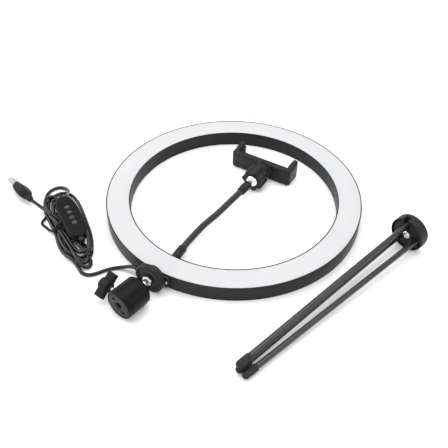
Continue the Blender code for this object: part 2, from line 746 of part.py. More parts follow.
# ---- cord, hank, controller and plug -----------------------------------------------------
CORD_ROUTE = [
    (-0.0221, -0.1325, 0.0085), (-0.0292, -0.1326, 0.0078), (-0.0372, -0.1343, 0.0044),
    (-0.0448, -0.1388, 0.0024), (-0.0496, -0.1462, 0.0021), (-0.0526, -0.1548, 0.0021),
    (-0.0572, -0.1618, 0.0021), (-0.0630, -0.1636, 0.0021), (-0.0688, -0.1604, 0.0021),
    (-0.0742, -0.1552, 0.0022),
]
PLUG_ROUTE = [
    (-0.1706, -0.1177, 0.0082), (-0.1672, -0.1181, 0.0080), (-0.1640, -0.1180, 0.0077),
]


def hank_outline():
    """Two rounded lobes with a waist where the tie holds the turns together."""
    ends = (Vector((-0.1500, -0.0990)), Vector((-0.0880, -0.1405)))
    widths = (0.0205, 0.0155)
    along = (ends[1] - ends[0]).normalized()
    side = Vector((-along.y, along.x))
    points = []
    for centre, width, facing in ((ends[0], widths[0], -1), (ends[1], widths[1], 1)):
        for i in range(9):
            angle = radians(-100 + 200 * i / 8)
            offset = along * cos(angle) * facing + side * sin(angle) * facing
            points.append(tuple(centre + offset * width))
        if facing == -1:
            waist = ends[0].lerp(ends[1], 0.52)
            points.append(tuple(waist + -side * 0.0125))
    waist = ends[0].lerp(ends[1], 0.52)
    points.append(tuple(waist + side * 0.0125))
    return points


def make_cord(light):
    jacket = matte_black()
    first = tube("cord_to_hank", smooth_route(CORD_ROUTE, 0.0085), CORD_RADIUS, jacket)
    settle(first, light, (0, 0, 0))
    hank = plate("cord_hank", hank_outline(), HANK_HEIGHT, jacket)
    settle(hank, light, (0, 0, GAP + HANK_HEIGHT / 2))
    last = tube("cord_to_plug", smooth_route(PLUG_ROUTE, 0.0060), CORD_RADIUS, jacket)
    settle(last, light, (0, 0, 0))


def make_controller(light):
    """Two moulded halves with four sprung keys through the upper one."""
    turn = yawed(CONTROL_YAW)
    low = GAP + HANK_HEIGHT + GAP
    half = CONTROL_HALF_HEIGHT
    length, width = CONTROL_LENGTH, CONTROL_WIDTH
    outline = []
    for i in range(24):
        angle = tau * i / 24
        x = abs(cos(angle)) ** 0.55 * (1 if cos(angle) >= 0 else -1) * length / 2
        y = abs(sin(angle)) ** 0.70 * (1 if sin(angle) >= 0 else -1) * width / 2
        outline.append((x, y))
    base = plate("controller_base", outline, half, satin_black())
    at = Vector((CONTROL_CENTRE.x, CONTROL_CENTRE.y, low + half / 2))
    settle(base, light, at, turn)
    lid = plate("controller_cover", outline, half, satin_black())
    lid_at = at + Vector((0, 0, half + GAP))
    settle(lid, light, lid_at, turn)
    for i in range(BUTTON_COUNT):
        offset = (i - (BUTTON_COUNT - 1) / 2) * BUTTON_PITCH
        place = lid_at + turn @ Vector((offset, 0.0, 0.0))
        size = BUTTON_SIZE / 2
        window = block(f"key_window_{i}", (-size - GAP, -size - GAP, -half / 2 + 0.0012),
                       (size + GAP, size + GAP, half))
        combine(lid, set_cutter(window, place, turn))
        key_body = body(f"key_{i + 1}", place, light)
        key = block(f"button_{i + 1}", (-size, -size, -half / 2 + 0.0022),
                    (size, size, half / 2 + 0.0006), black_rubber(), 0.0005, 1)
        settle(key, key_body, place, turn)


def make_plug(light):
    """USB-A plug: overmould with a tapered tail, round a folded metal shell."""
    turn = yawed(PLUG_YAW) @ Matrix.Rotation(PLUG_ROLL, 3, "X")
    at = PLUG_TIP
    front = PLUG_SHELL_LENGTH
    shell = block("plug_shell", (0.0, -0.0060, -0.00225), (front, 0.0060, 0.00225), steel())
    settle(shell, light, at, turn)
    mouth = block("plug_mouth", (-0.001, -0.0056, -0.0002), (0.0085, 0.0056, 0.00185))
    combine(shell, set_cutter(mouth, at, turn))
    outline = [(front + GAP, -0.0062), (front + 0.0030, -0.0072), (front + 0.0140, -0.0072),
               (front + 0.0220, -0.0036), (front + 0.0295, -0.0027), (front + 0.0295, 0.0027),
               (front + 0.0220, 0.0036), (front + 0.0140, 0.0072), (front + 0.0030, 0.0072),
               (front + GAP, 0.0062)]
    moulding = plate("plug_body", outline, 0.0080, matte_black())
    settle(moulding, light, at, turn)


def make_tie(light):
    """Twist tie over the waist of the hank."""
    middle = Vector((-0.1480, -0.1010, 0.0)).lerp(Vector((-0.0880, -0.1420, 0.0)), 0.52)
    along = Vector((0.0600, -0.0410, 0.0)).normalized()
    side = Vector((-along.y, along.x, 0.0))
    half, radius, top = 0.0150, 0.0008, GAP + HANK_HEIGHT + GAP + 0.0008
    points = [middle - side * half + Vector((0, 0, 0.0011)),
              middle - side * half + Vector((0, 0, top - 0.002)),
              middle - side * (half - 0.002) + Vector((0, 0, top + 0.0003)),
              middle - side * 0.0130 + Vector((0, 0, top + 0.0003))]
    settle(tube("twist_tie", points, radius, matte_black()), light, (0, 0, 0))


# ---- tripod ------------------------------------------------------------------------------
def tripod_axes():
    """The hub's own directions: towards the feet, level to the right, and upward."""
    along = Vector((cos(HUB_YAW) * cos(HUB_DIP), sin(HUB_YAW) * cos(HUB_DIP), -sin(HUB_DIP)))
    right = Vector((-sin(HUB_YAW), cos(HUB_YAW), 0.0))
    up = along.cross(right)
    return along, right, up


def leg_direction(index):
    """Outward unit vector of one leg's slot in the hub."""
    along, right, up = tripod_axes()
    angle = pi / 2 + HUB_SPIN + tau * index / 3
    return right * cos(angle) + up * sin(angle)


def make_tripod():
    along, right, up = tripod_axes()
    turn = heading(along)
    hub = body("tripod", HUB_END, "light")
    cap_profile = [(HUB_RADIUS - 0.0012, 0.0), (HUB_RADIUS, 0.0012), (HUB_RADIUS, HUB_CAP_LENGTH),
                   (HUB_RADIUS - 0.0014, HUB_CAP_LENGTH), (HUB_RADIUS - 0.0014, 0.0025),
                   (0.0033, 0.0025), (0.0033, 0.0)]
    cap_profile.reverse()
    settle(turned("hub_cap", cap_profile, satin_black(), 32, closed=True), hub, HUB_END, turn)
    core = HUB_RADIUS - 0.0014 - GAP
    rim = HUB_RADIUS - 0.0006
    flange_profile = [(rim - 0.0008, HUB_LENGTH), (rim, HUB_LENGTH - 0.0008),
                      (rim, HUB_CAP_LENGTH + GAP), (core, HUB_CAP_LENGTH + GAP),
                      (core, 0.0025 + GAP), (0.0033, 0.0025 + GAP), (0.0033, HUB_LENGTH - 0.0018),
                      (0.0052, HUB_LENGTH - 0.0018), (0.0052, HUB_LENGTH)]
    flange = settle(turned("hub_flange", flange_profile, satin_black(), 32, closed=True), hub,
                    HUB_END, turn)
    bolt = [(0.0, HUB_LENGTH + 0.0006), (0.0036, HUB_LENGTH + 0.0006), (0.0044, HUB_LENGTH - 0.0002),
            (0.0044, HUB_LENGTH - 0.0015), (0.0030, HUB_LENGTH - 0.0015), (0.0030, -0.0050),
            (0.0024, -0.0056), (0.0, -0.0056)]
    settle(turned("centre_bolt", bolt, chrome(), 20), hub, HUB_END, turn)
    for i in range(3):
        make_leg(i, hub, flange, along)


def make_leg(index, hub, flange, along):
    """One leg with its pin and rubber foot, and its slot in the hub."""
    out = leg_direction(index)
    across = out.cross(along)
    pivot = HUB_END + along * LEG_PIVOT_STATION + out * LEG_PIVOT_RADIUS
    foot = HUB_END + along * (LEG_PIVOT_STATION + LEG_LENGTH) + out * FOOT_SPREAD[index]
    way = (foot - pivot).normalized()
    half = LEG_RADIUS + GAP
    slot_turn = Matrix((across, out, along)).transposed()
    slot = block(f"leg_slot_{index}", (-half, -(LEG_RADIUS + 0.0006), -(LEG_RADIUS + 0.0007)),
                 (half, 0.02, 0.02))
    combine(flange, set_cutter(slot, pivot, slot_turn))
    pin_hole = rod(f"pin_hole_{index}", 0.0013, -0.0052, 0.0052, sides=12)
    combine(flange, set_cutter(pin_hole, pivot, heading(across)))
    settle(rod(f"leg_pin_{index + 1}", 0.0010, -0.0048, 0.0048, steel(), 12), hub, pivot,
           heading(across))

    leg_body = body(f"leg_{index + 1}", pivot, hub)
    length = (foot - pivot).length
    end = length - FOOT_LENGTH - GAP
    profile = [(LEG_BORE, length - 0.0030), (LEG_RADIUS - 0.0004, length - 0.0030),
               (LEG_RADIUS - 0.0004, end), (LEG_RADIUS, end)]
    profile += arc(LEG_RADIUS, 0.0, 0.0, -pi / 2, 3)
    profile[-1] = (0.0, -LEG_RADIUS)
    profile += [(0.0, 0.0080), (LEG_BORE, 0.0080)]
    leg = settle(turned(f"leg_{index + 1}_tube", profile, black_paint(), 14, closed=True),
                 leg_body, pivot, heading(way))
    bore = rod(f"leg_bore_{index}", 0.0013, -0.004, 0.004, sides=12)
    combine(leg, set_cutter(bore, pivot, heading(across)))
    dome = arc(FOOT_RADIUS, length - FOOT_RADIUS, pi / 2, 0.0, 3)
    dome[0] = (0.0, length)
    boot = dome + [(FOOT_RADIUS, length - FOOT_LENGTH), (LEG_RADIUS - 0.0001, length - FOOT_LENGTH),
                   (LEG_RADIUS - 0.0001, length - 0.0027), (0.0, length - 0.0027)]
    settle(turned(f"foot_{index + 1}", boot, black_rubber(), 14), leg_body, pivot, heading(way))


# ---- build -------------------------------------------------------------------------------
def main():
    light, frame = make_ring()
    make_bracket(light, frame)
    make_platform()
    make_clamp_knob(*make_head())
    make_holder(make_neck(light))
    make_cord(light)
    make_controller(light)
    make_plug(light)
    make_tie(light)
    make_tripod()
    bpy.context.view_layer.update()


main()
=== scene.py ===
"""Looks of the ring light kit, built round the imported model: surfaces, cords and finishes."""
from math import asin, cos, pi, radians, sin, tan, tau

import bmesh
import bpy
import numpy as np
from mathutils import Matrix, Vector


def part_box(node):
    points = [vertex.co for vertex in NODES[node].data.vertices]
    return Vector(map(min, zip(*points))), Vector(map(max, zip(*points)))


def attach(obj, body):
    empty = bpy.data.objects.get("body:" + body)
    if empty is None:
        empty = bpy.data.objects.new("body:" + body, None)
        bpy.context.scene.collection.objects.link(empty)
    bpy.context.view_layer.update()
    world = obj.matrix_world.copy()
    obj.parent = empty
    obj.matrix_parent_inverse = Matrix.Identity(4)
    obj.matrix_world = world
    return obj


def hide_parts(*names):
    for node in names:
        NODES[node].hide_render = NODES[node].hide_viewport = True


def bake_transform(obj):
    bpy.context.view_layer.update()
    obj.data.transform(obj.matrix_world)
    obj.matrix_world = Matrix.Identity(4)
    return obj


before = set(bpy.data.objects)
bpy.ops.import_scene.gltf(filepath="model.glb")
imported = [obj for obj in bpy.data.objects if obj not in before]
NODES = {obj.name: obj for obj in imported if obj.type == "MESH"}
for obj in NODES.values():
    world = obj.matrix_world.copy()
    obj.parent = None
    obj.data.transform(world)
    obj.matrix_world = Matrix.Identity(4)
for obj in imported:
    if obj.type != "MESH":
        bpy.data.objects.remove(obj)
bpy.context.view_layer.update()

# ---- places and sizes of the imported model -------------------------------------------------
RING_LOW, RING_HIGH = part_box("ring_frame")
CENTRE = Vector(((RING_LOW.x + RING_HIGH.x) / 2, (RING_LOW.y + RING_HIGH.y) / 2, 0.0))
RING_OUTER = (RING_HIGH.x - RING_LOW.x) / 2
RING_INNER = 0.1060
RING_HEIGHT = RING_HIGH.z
RING_WALL = 0.0016
RIM_WALL = 0.0009
GAP = 0.0003

STUD_Z = 0.0150
BOSS_FACE = 0.1362
DISC_RADIUS = 0.0148
DISC_BACK = BOSS_FACE + GAP
DISC_FACE = 0.1425
BALL_RADIUS = 0.0085
BALL_AT = CENTRE + Vector((0.0, -0.1596, STUD_Z))
HEAD_RADIUS = 0.0143
HEAD_MOUTH = -0.0055
HEAD_BASE = 0.0218
HEAD_BORE = 0.0096
HEAD_SOCKET = 0.00935
BASE_PLATE_THICK = 0.0040
PLATE_SEAT = 0.0125
THREAD_PITCH = 0.00127
HEAD_YAW = radians(-96.7)
NOTCH_WIDTH = 0.0080
NOTCH_DROP = radians(30)
CLAMP_STATION = 0.0118
KNOB_FACE = 0.0210
KNOB_END = 0.0320
WING_END = 0.0305
WING_SPAN = 0.0124
WING_ANGLE = radians(39.5)

HOSE_RADIUS = 0.0034
NECK = [CENTRE + Vector(p) for p in (
    (0.0, -0.1051, 0.0082), (-0.0025, -0.0820, 0.0082), (-0.0030, -0.0740, 0.0083),
    (-0.0033, -0.0510, 0.0087), (-0.0010, -0.0280, 0.0095), (0.0004, -0.0050, 0.0110),
    (0.0023, 0.0341, 0.0125))]
TIP_BALL_RADIUS = 0.0072
SLEEVE_SHORT = 0.0046
RIB_PITCH = 0.0021
HOLDER_TURN = Matrix.Rotation(radians(2.54), 3, "Z")
CLAMP_BACK = 0.0225
CLAMP_DEPTH = 0.0075
CLAMP_HEIGHT = 0.0195
CLAMP_DROP = 0.0004 - 0.0125
JAW_REACH = 0.0205
JAW_THICK = 0.0058
JAW_HEIGHT = 0.0218
CLAMP_RIGHT = 0.0313
CLAMP_SEAM = -0.0309
CLAMP_LEFT = -0.0393

CORD_RADIUS = 0.00175
CONTROL_AT = CENTRE + Vector((-0.1165, -0.1170, 0.0070))
CONTROL_TURN = Matrix.Rotation(radians(-30), 3, "Z")
CONTROL_HALF = 0.0042
CONTROL_LONG = 0.0320
CONTROL_WIDE = 0.0106
KEY_PITCH = 0.0082
PLUG_AT = CENTRE + Vector((-0.2108, -0.1051, 0.0082))
PLUG_TURN = Matrix.Rotation(radians(-17.4), 3, "Z") @ Matrix.Rotation(radians(-50), 3, "X")
PLUG_SHELL_LENGTH = 0.0118

HUB_AT = CENTRE + Vector((0.1738, 0.0513, 0.0184))
HUB_YAW = radians(-104.0)
HUB_DIP = radians(3.06)
HUB_SPIN = radians(13.8)
HUB_RADIUS = 0.0178
HUB_LENGTH = 0.0116
LEG_RADIUS = 0.0027
LEG_PIVOT_RADIUS = 0.0104
LEG_PIVOT_STATION = 0.0086
LEG_LENGTH = 0.2252
FOOT_RADIUS = 0.0035
FOOT_LENGTH = 0.0150
FOOT_SPREAD = (0.0062, 0.0024, 0.0059)


# ---- camera, light and floor --------------------------------------------------------------
def make_camera():
    elevation, roll = radians(43.03), radians(0.9015)
    level, rise = Vector((1, 0, 0)), Vector((0, sin(elevation), cos(elevation)))
    right = level * cos(roll) + rise * sin(roll)
    up = rise * cos(roll) - level * sin(roll)
    back = Vector((0, -cos(elevation), sin(elevation)))
    turn = Matrix.Rotation(radians(32.8), 3, "Z") @ Matrix((right, up, back)).transposed()
    data = bpy.data.cameras.new("camera")
    data.sensor_width = 36.0
    data.lens = 55.95
    data.clip_start = 0.01
    camera = bpy.data.objects.new("camera", data)
    bpy.context.scene.collection.objects.link(camera)
    place = CENTRE + Vector((0.28594, -0.46153, 0.48018))
    camera.matrix_world = Matrix.Translation(place) @ turn.to_4x4()
    bpy.context.scene.camera = camera


def softbox(name, place, aim, size, power):
    data = bpy.data.lights.new(name, "AREA")
    data.shape = "RECTANGLE"
    data.size, data.size_y = size
    data.energy = power
    light = bpy.data.objects.new(name, data)
    bpy.context.scene.collection.objects.link(light)
    light.location = place
    light.rotation_euler = (Vector(aim) - Vector(place)).to_track_quat("-Z", "Y").to_euler()


def make_studio():
    """White table top under large soft boxes, in an evenly bright room."""
    softbox("overhead", (-0.10, 0.25, 1.30), (0.0, 0.0, 0.0), (1.3, 1.1), 12.0)
    softbox("left_panel", (-1.05, -0.25, 0.60), (0.0, -0.05, 0.0), (0.9, 0.7), 6.0)
    softbox("right_panel", (1.05, -0.10, 0.60), (0.05, 0.0, 0.0), (1.3, 1.0), 4.0)
    world = bpy.data.worlds.new("studio")
    world.use_nodes = True
    tree = world.node_tree
    way = tree.nodes.new("ShaderNodeTexCoord")
    parts = tree.nodes.new("ShaderNodeSeparateXYZ")
    tree.links.new(way.outputs["Generated"], parts.inputs["Vector"])
    height = add_node(tree, "MapRange", From_Min=-1.0)
    tree.links.new(parts.outputs["Z"], height.inputs["Value"])
    tone = tree.nodes.new("ShaderNodeValToRGB")
    stops = tone.color_ramp.elements
    stops[0].position, stops[0].color = 0.40, (0.75, 0.75, 0.75, 1)
    stops[1].position, stops[1].color = 0.85, (1.0, 1.0, 1.0, 1)
    tree.links.new(height.outputs["Result"], tone.inputs["Fac"])
    seen = tree.nodes.new("ShaderNodeLightPath")
    mixed = add_node(tree, "MixRGB", Color2=(1.6, 1.6, 1.6, 1))
    tree.links.new(seen.outputs["Is Camera Ray"], mixed.inputs["Fac"])
    tree.links.new(tone.outputs["Color"], mixed.inputs["Color1"])
    tree.links.new(mixed.outputs["Color"], tree.nodes["Background"].inputs["Color"])
    tree.nodes["Background"].inputs["Strength"].default_value = 1.02
    bpy.context.scene.world = world
    bpy.context.scene.view_settings.view_transform = "Standard"
    bm = bmesh.new()
    bmesh.ops.create_grid(bm, x_segments=8, y_segments=8, size=4.0)
    floor = as_object("floor", bm)
    floor.data.materials.append(surface("floor", (0.93, 0.93, 0.93), (0.95, 0.95, 0.95),
                                        (0.75, 0.85), grain=60, bump=0.05))


# ---- materials ----------------------------------------------------------------------------
def add_node(tree, kind, **values):
    """New shader node with its inputs set; an underscore stands for a space."""
    node = tree.nodes.new("ShaderNode" + kind)
    for label, value in values.items():
        node.inputs[label.replace("_", " ")].default_value = value
    return node


def surface(name, dark, light, rough, metallic=0.0, specular=0.5, mottle=120.0, grain=1500.0,
            bump=0.15, depth=0.00004, coat=0.0, edge_highlight=0.0, stretch=(1, 1, 1), glow=0.0,
            subsurface=0.0):
    """Shader whose colour and roughness drift over the surface, with a fine moulded grain and, where
    asked, a painted highlight on convex edges.
    """
    made = bpy.data.materials.new(name)
    made.use_nodes = True
    tree = made.node_tree
    link = tree.links.new
    shader = tree.nodes["Principled BSDF"]
    shader.inputs["Metallic"].default_value = metallic
    shader.inputs["Specular IOR Level"].default_value = specular
    shader.inputs["Coat Weight"].default_value = coat
    shader.inputs["Coat Roughness"].default_value = 0.18
    if subsurface:
        shader.inputs["Subsurface Weight"].default_value = subsurface
        shader.inputs["Subsurface Scale"].default_value = 0.002
    place = tree.nodes.new("ShaderNodeTexCoord")
    scale = add_node(tree, "Mapping", Scale=stretch)
    link(place.outputs["Object"], scale.inputs["Vector"])
    patches = add_node(tree, "TexNoise", Scale=mottle, Detail=5.0)
    link(scale.outputs["Vector"], patches.inputs["Vector"])
    tone = tree.nodes.new("ShaderNodeValToRGB")
    tone.color_ramp.elements[0].position = 0.36
    tone.color_ramp.elements[0].color = (*dark, 1)
    tone.color_ramp.elements[1].position = 0.66
    tone.color_ramp.elements[1].color = (*light, 1)
    link(patches.outputs["Fac"], tone.inputs["Fac"])
    colour = tone.outputs["Color"]
    # Convex edges, found by their pointiness, are painted lighter: a painted highlight along rims and
    # corners.
    if edge_highlight:
        edges = tree.nodes.new("ShaderNodeNewGeometry")
        where = add_node(tree, "MapRange", From_Min=0.53, From_Max=0.62, To_Max=edge_highlight)
        link(edges.outputs["Pointiness"], where.inputs["Value"])
        mixed = add_node(tree, "MixRGB", Color2=(*[min(1.0, c * 3.0 + 0.02) for c in light], 1))
        link(where.outputs["Result"], mixed.inputs["Fac"])
        link(colour, mixed.inputs["Color1"])
        colour = mixed.outputs["Color"]
    link(colour, shader.inputs["Base Color"])
    # Emission makes the surface glow by itself, which is painted light on a part that is no lamp.
    if glow:
        link(colour, shader.inputs["Emission Color"])
        shader.inputs["Emission Strength"].default_value = glow
    polish = add_node(tree, "MapRange", From_Min=0.3, From_Max=0.7, To_Min=rough[0],
                      To_Max=rough[1])
    link(patches.outputs["Fac"], polish.inputs["Value"])
    link(polish.outputs["Result"], shader.inputs["Roughness"])
    fine = add_node(tree, "TexNoise", Scale=grain, Detail=3.0)
    link(scale.outputs["Vector"], fine.inputs["Vector"])
    relief = add_node(tree, "Bump", Strength=bump, Distance=depth)
    link(fine.outputs["Fac"], relief.inputs["Height"])
    link(relief.outputs["Normal"], shader.inputs["Normal"])
    return made


def make_paints():
    """One material for each of the record's slots, and a few for details."""
    # The four black finishes that set the edge share below get a painted highlight on their convex
    # edges.
    recipes = {
        "satin_black_plastic": dict(
            dark=(0.010, 0.010, 0.0105), light=(0.014, 0.014, 0.015), rough=(0.36, 0.46),
            specular=0.18, grain=2200, bump=0.22, edge_highlight=0.25),
        "matte_black_plastic": dict(
            dark=(0.006, 0.006, 0.0065), light=(0.009, 0.009, 0.0095), rough=(0.48, 0.60),
            specular=0.18, grain=1800, bump=0.35, edge_highlight=0.25),
        "black_rubber": dict(
            dark=(0.014, 0.014, 0.0145), light=(0.022, 0.022, 0.0225), rough=(0.55, 0.68),
            specular=0.20, grain=1200, bump=0.4),
        "black_painted_metal": dict(
            dark=(0.007, 0.007, 0.0075), light=(0.010, 0.010, 0.0105), rough=(0.22, 0.32),
            specular=0.42, grain=900, bump=0.10, coat=0.15, edge_highlight=0.2),
        "chrome": dict(
            dark=(0.86, 0.855, 0.84), light=(0.92, 0.915, 0.90), rough=(0.14, 0.20), metallic=1.0,
            grain=2500, bump=0.04),
        "bright_steel": dict(
            dark=(0.60, 0.60, 0.61), light=(0.74, 0.74, 0.75), rough=(0.20, 0.32), metallic=1.0,
            grain=1400, bump=0.15, stretch=(1, 1, 6)),
        "brass": dict(
            dark=(0.60, 0.42, 0.18), light=(0.76, 0.56, 0.27), rough=(0.25, 0.38), metallic=1.0),
        "nylon": dict(
            dark=(0.62, 0.61, 0.57), light=(0.72, 0.71, 0.67), rough=(0.45, 0.55), subsurface=0.2),
        "opal_diffuser": dict(
            dark=(0.470, 0.473, 0.484), light=(0.486, 0.489, 0.500), rough=(0.42, 0.50),
            specular=0.3, mottle=25, grain=2600, bump=0.12, subsurface=0.3),
        "white_circuit_board": dict(
            dark=(0.78, 0.78, 0.76), light=(0.86, 0.86, 0.84), rough=(0.35, 0.5)),
        "green_circuit_board": dict(
            dark=(0.02, 0.16, 0.07), light=(0.03, 0.24, 0.10), rough=(0.3, 0.45)),
        "cord_jacket": dict(
            dark=(0.004, 0.004, 0.0045), light=(0.007, 0.007, 0.0075), rough=(0.20, 0.30),
            specular=0.30, mottle=300, grain=1600, bump=0.12, coat=0.1),
        # Printed key marks in their own colours, also given a faint glow though they are no lamp:
        # painted light.
        "key_print": dict(
            dark=(0.12, 0.17, 0.22), light=(0.16, 0.21, 0.27), rough=(0.4, 0.5), glow=0.01),
        "key_print_red": dict(
            dark=(0.17, 0.07, 0.07), light=(0.22, 0.10, 0.10), rough=(0.4, 0.5), glow=0.01),
        "led_phosphor": dict(
            dark=(0.75, 0.62, 0.18), light=(0.85, 0.74, 0.28), rough=(0.3, 0.4)),
        "deep_black_plastic": dict(
            dark=(0.0030, 0.0030, 0.0034), light=(0.0045, 0.0045, 0.0050), rough=(0.32, 0.42),
            specular=0.10, grain=2200, bump=0.18, edge_highlight=0.15),
        "hose_cover": dict(
            dark=(0.005, 0.005, 0.0055), light=(0.009, 0.009, 0.0095), rough=(0.20, 0.28),
            specular=0.45, mottle=200, grain=1400, bump=0.10, coat=0.15),
        # End plate black, painted lighter than the housing's black: a painted reflection standing in
        # for the light its face catches.
        "end_plate_painted_sheen": dict(
            dark=(0.011, 0.011, 0.0115), light=(0.015, 0.015, 0.0155), rough=(0.42, 0.52),
            specular=0.20, grain=2000, bump=0.20),
        "plug_steel": dict(
            dark=(0.20, 0.20, 0.205), light=(0.27, 0.27, 0.275), rough=(0.25, 0.35), metallic=1.0,
            grain=1400, bump=0.12),
        "dark_steel": dict(
            dark=(0.10, 0.10, 0.10), light=(0.16, 0.16, 0.16), rough=(0.28, 0.40), metallic=1.0),
    }
    return {name: surface(name, **recipe) for name, recipe in recipes.items()}


# ---- shape tools --------------------------------------------------------------------------
def as_object(name, bm, sharp=32):
    mesh = bpy.data.meshes.new(name)
    bm.to_mesh(mesh)
    bm.free()
    mesh.shade_smooth()
    mesh.set_sharp_from_angle(angle=radians(sharp))
    obj = bpy.data.objects.new(name, mesh)
    bpy.context.scene.collection.objects.link(obj)
    return obj


def skin(name, bm, loops, sharp=32):
    """Closed surface over equal loops of vertices, from the first to the last."""
    for a, b in zip(loops, loops[1:]):
        for i in range(len(a)):
            j = (i + 1) % len(a)
            bm.faces.new((a[i], a[j], b[j], b[i]))
    bm.faces.new(list(reversed(loops[0])))
    bm.faces.new(loops[-1])
    bmesh.ops.recalc_face_normals(bm, faces=bm.faces)
    return as_object(name, bm, sharp)


def fillet(points, radius, closed=False, steps=4):
    """Outline or profile with each corner rounded by a short curve."""
    points = [Vector(p) for p in points]
    count = len(points)
    rounded = []
    for i, corner in enumerate(points):
        if not closed and i in (0, count - 1):
            rounded.append(corner)
            continue
        before = points[i - 1] - corner
        after = points[(i + 1) % count] - corner
        opening = before.angle(after)
        size = radius[i] if isinstance(radius, (list, tuple)) else radius
        if opening > radians(168) or size <= 0:
            rounded.append(corner)
            continue
        reach = min(size / tan(opening / 2), 0.45 * before.length, 0.45 * after.length)
        start = corner + before.normalized() * reach
        end = corner + after.normalized() * reach
        for k in range(steps + 1):
            t = k / steps
            rounded.append(start * (1 - t) ** 2 + corner * (2 * t * (1 - t)) + end * t * t)
    return rounded


def arc(radius, centre, start, end, count):
    """Arc in a profile of (radius, station) points."""
    angles = [start + (end - start) * i / count for i in range(count + 1)]
    return [(max(0.0, radius * cos(a)), centre + radius * sin(a)) for a in angles]


def lathe(name, profile, steps=96, closed=False):
    """Profile of (radius, station) points turned about Z."""
    bm = bmesh.new()
    rings = []
    for radius, station in profile:
        if radius < 1e-7:
            rings.append([bm.verts.new((0, 0, station))])
        else:
            rings.append([bm.verts.new((radius * cos(tau * i / steps),
                                        radius * sin(tau * i / steps), station))
                          for i in range(steps)])
    pairs = list(zip(rings, rings[1:]))
    if closed:
        pairs.append((rings[-1], rings[0]))
    for a, b in pairs:
        for i in range(steps):
            j = (i + 1) % steps
            if len(a) == 1:
                bm.faces.new((a[0], b[i], b[j]))
            elif len(b) == 1:
                bm.faces.new((a[i], b[0], a[j]))
            else:
                bm.faces.new((a[i], b[i], b[j], a[j]))
    bmesh.ops.recalc_face_normals(bm, faces=bm.faces)
    return as_object(name, bm)


def rod(name, radius, low, high, steps):
    """Plain round cutter from low to high along Z."""
    return lathe(name, [(0.0, low), (radius, low), (radius, high), (0.0, high)], steps)


def inset(outline, distance):
    """Anticlockwise outline with every side moved inward by a distance."""
    moved = []
    count = len(outline)
    for i, point in enumerate(outline):
        before = (point - outline[i - 1]).normalized()
        after = (outline[(i + 1) % count] - point).normalized()
        along = (before + after).normalized()
        stretch = 1 / max(0.5, along.dot(after))
        moved.append(point + Vector((-along.y, along.x)) * distance * stretch)
    return moved


def extrusion(name, corners, low, high, edge=0.0005, rings=3, corner=0.0, steps=5):
    """Outline raised from low to high along Z, with rounded corners and rounded rims."""
    corners = [Vector(p) for p in corners]
    radii = list(corner) if isinstance(corner, (list, tuple)) else [corner] * len(corners)
    area = sum(a.x * b.y - b.x * a.y for a, b in zip(corners, corners[1:] + corners[:1]))
    if area < 0:
        corners.reverse()
        radii.reverse()
    bends = [(b - a).x * (c - b).y - (b - a).y * (c - b).x
             for a, b, c in zip(corners[-1:] + corners, corners, corners[1:] + corners[:1])]
    layers = []
    for k in range(rings + 1):
        angle = pi / 2 * k / rings
        layers.append((low + edge * (1 - sin(angle)), edge * (1 - cos(angle))))
    layers.reverse()
    layers += [(low + high - z, inward) for z, inward in reversed(layers)]
    bm = bmesh.new()
    loops = []
    for z, inward in layers:
        outline = inset(corners, inward)
        if any(radii):
            left = [max(r - inward, 0.05 * r) if bend > 0 else r + inward
                    for r, bend in zip(radii, bends)]
            outline = fillet(outline, left, closed=True, steps=steps)
        loops.append([bm.verts.new((p.x, p.y, z)) for p in outline])
    return skin(name, bm, loops)


def rounded_box(name, low, high, corner=0.001, edge=0.0005):
    rectangle = [(low[0], low[1]), (high[0], low[1]), (high[0], high[1]), (low[0], high[1])]
    return extrusion(name, rectangle, low[2], high[2], edge, corner=corner)


def rounded_bar(name, low, high, corner):
    """Bar along X with a rounded section and nearly flat ends."""
    section = [(low[1], low[2]), (high[1], low[2]), (high[1], high[2]), (low[1], high[2])]
    bar = extrusion(name, section, low[0], high[0], 0.0003, 2, corner=corner, steps=7)
    return place(bar, (0, 0, 0), Matrix(((0, 0, 1), (1, 0, 0), (0, 1, 0))))


def sweep(name, path, radius, sides=24):
    """Tube along a path; radius is a number or a function of (distance along, angle)."""
    path = [Vector(p) for p in path]
    size = radius if callable(radius) else (lambda along, angle: radius)
    bm = bmesh.new()
    loops, along = [], 0.0
    across = (path[1] - path[0]).orthogonal().normalized()
    for i, point in enumerate(path):
        ahead = (path[min(i + 1, len(path) - 1)] - path[max(i - 1, 0)]).normalized()
        across = (across - ahead * across.dot(ahead)).normalized()
        other = ahead.cross(across)
        if i:
            along += (point - path[i - 1]).length
        loop = []
        for k in range(sides):
            angle = tau * k / sides
            out = across * cos(angle) + other * sin(angle)
            loop.append(bm.verts.new(point + out * size(along, angle)))
        loops.append(loop)
    return skin(name, bm, loops, 50)


def curve_through(points, spacing):
    """Evenly spaced points on a smooth curve through the given ones."""
    route = [Vector(p) for p in points]
    padded = [route[0] * 2 - route[1], *route, route[-1] * 2 - route[-2]]
    fine = []
    for a, b, c, d in zip(padded, padded[1:], padded[2:], padded[3:]):
        for i in range(16):
            t = i / 16
            fine.append(0.5 * (2 * b + (c - a) * t + (2 * a - 5 * b + 4 * c - d) * t * t
                               + (3 * b - a - 3 * c + d) * t ** 3))
    fine.append(route[-1])
    line = np.array(fine)
    travelled = np.concatenate([[0], np.cumsum(np.linalg.norm(np.diff(line, axis=0), axis=1))])
    count = max(3, round(travelled[-1] / spacing) + 1)
    stations = np.linspace(0, travelled[-1], count)
    return np.stack([np.interp(stations, travelled, line[:, k]) for k in range(3)], axis=1)


def place(obj, at, turn=None):
    """Move a mesh's own points, so that its object stays at the origin."""
    turn = (turn or Matrix.Identity(3)).to_4x4()
    obj.data.transform(Matrix.Translation(at) @ turn)
    return obj


def heading(direction, up=(0, 0, 1)):
    """Turn whose Z axis points along direction."""
    z = Vector(direction).normalized()
    x = Vector(up).cross(z)
    if x.length < 1e-6:
        x = Vector((1, 0, 0))
    x.normalize()
    return Matrix((x, z.cross(x), z)).transposed()


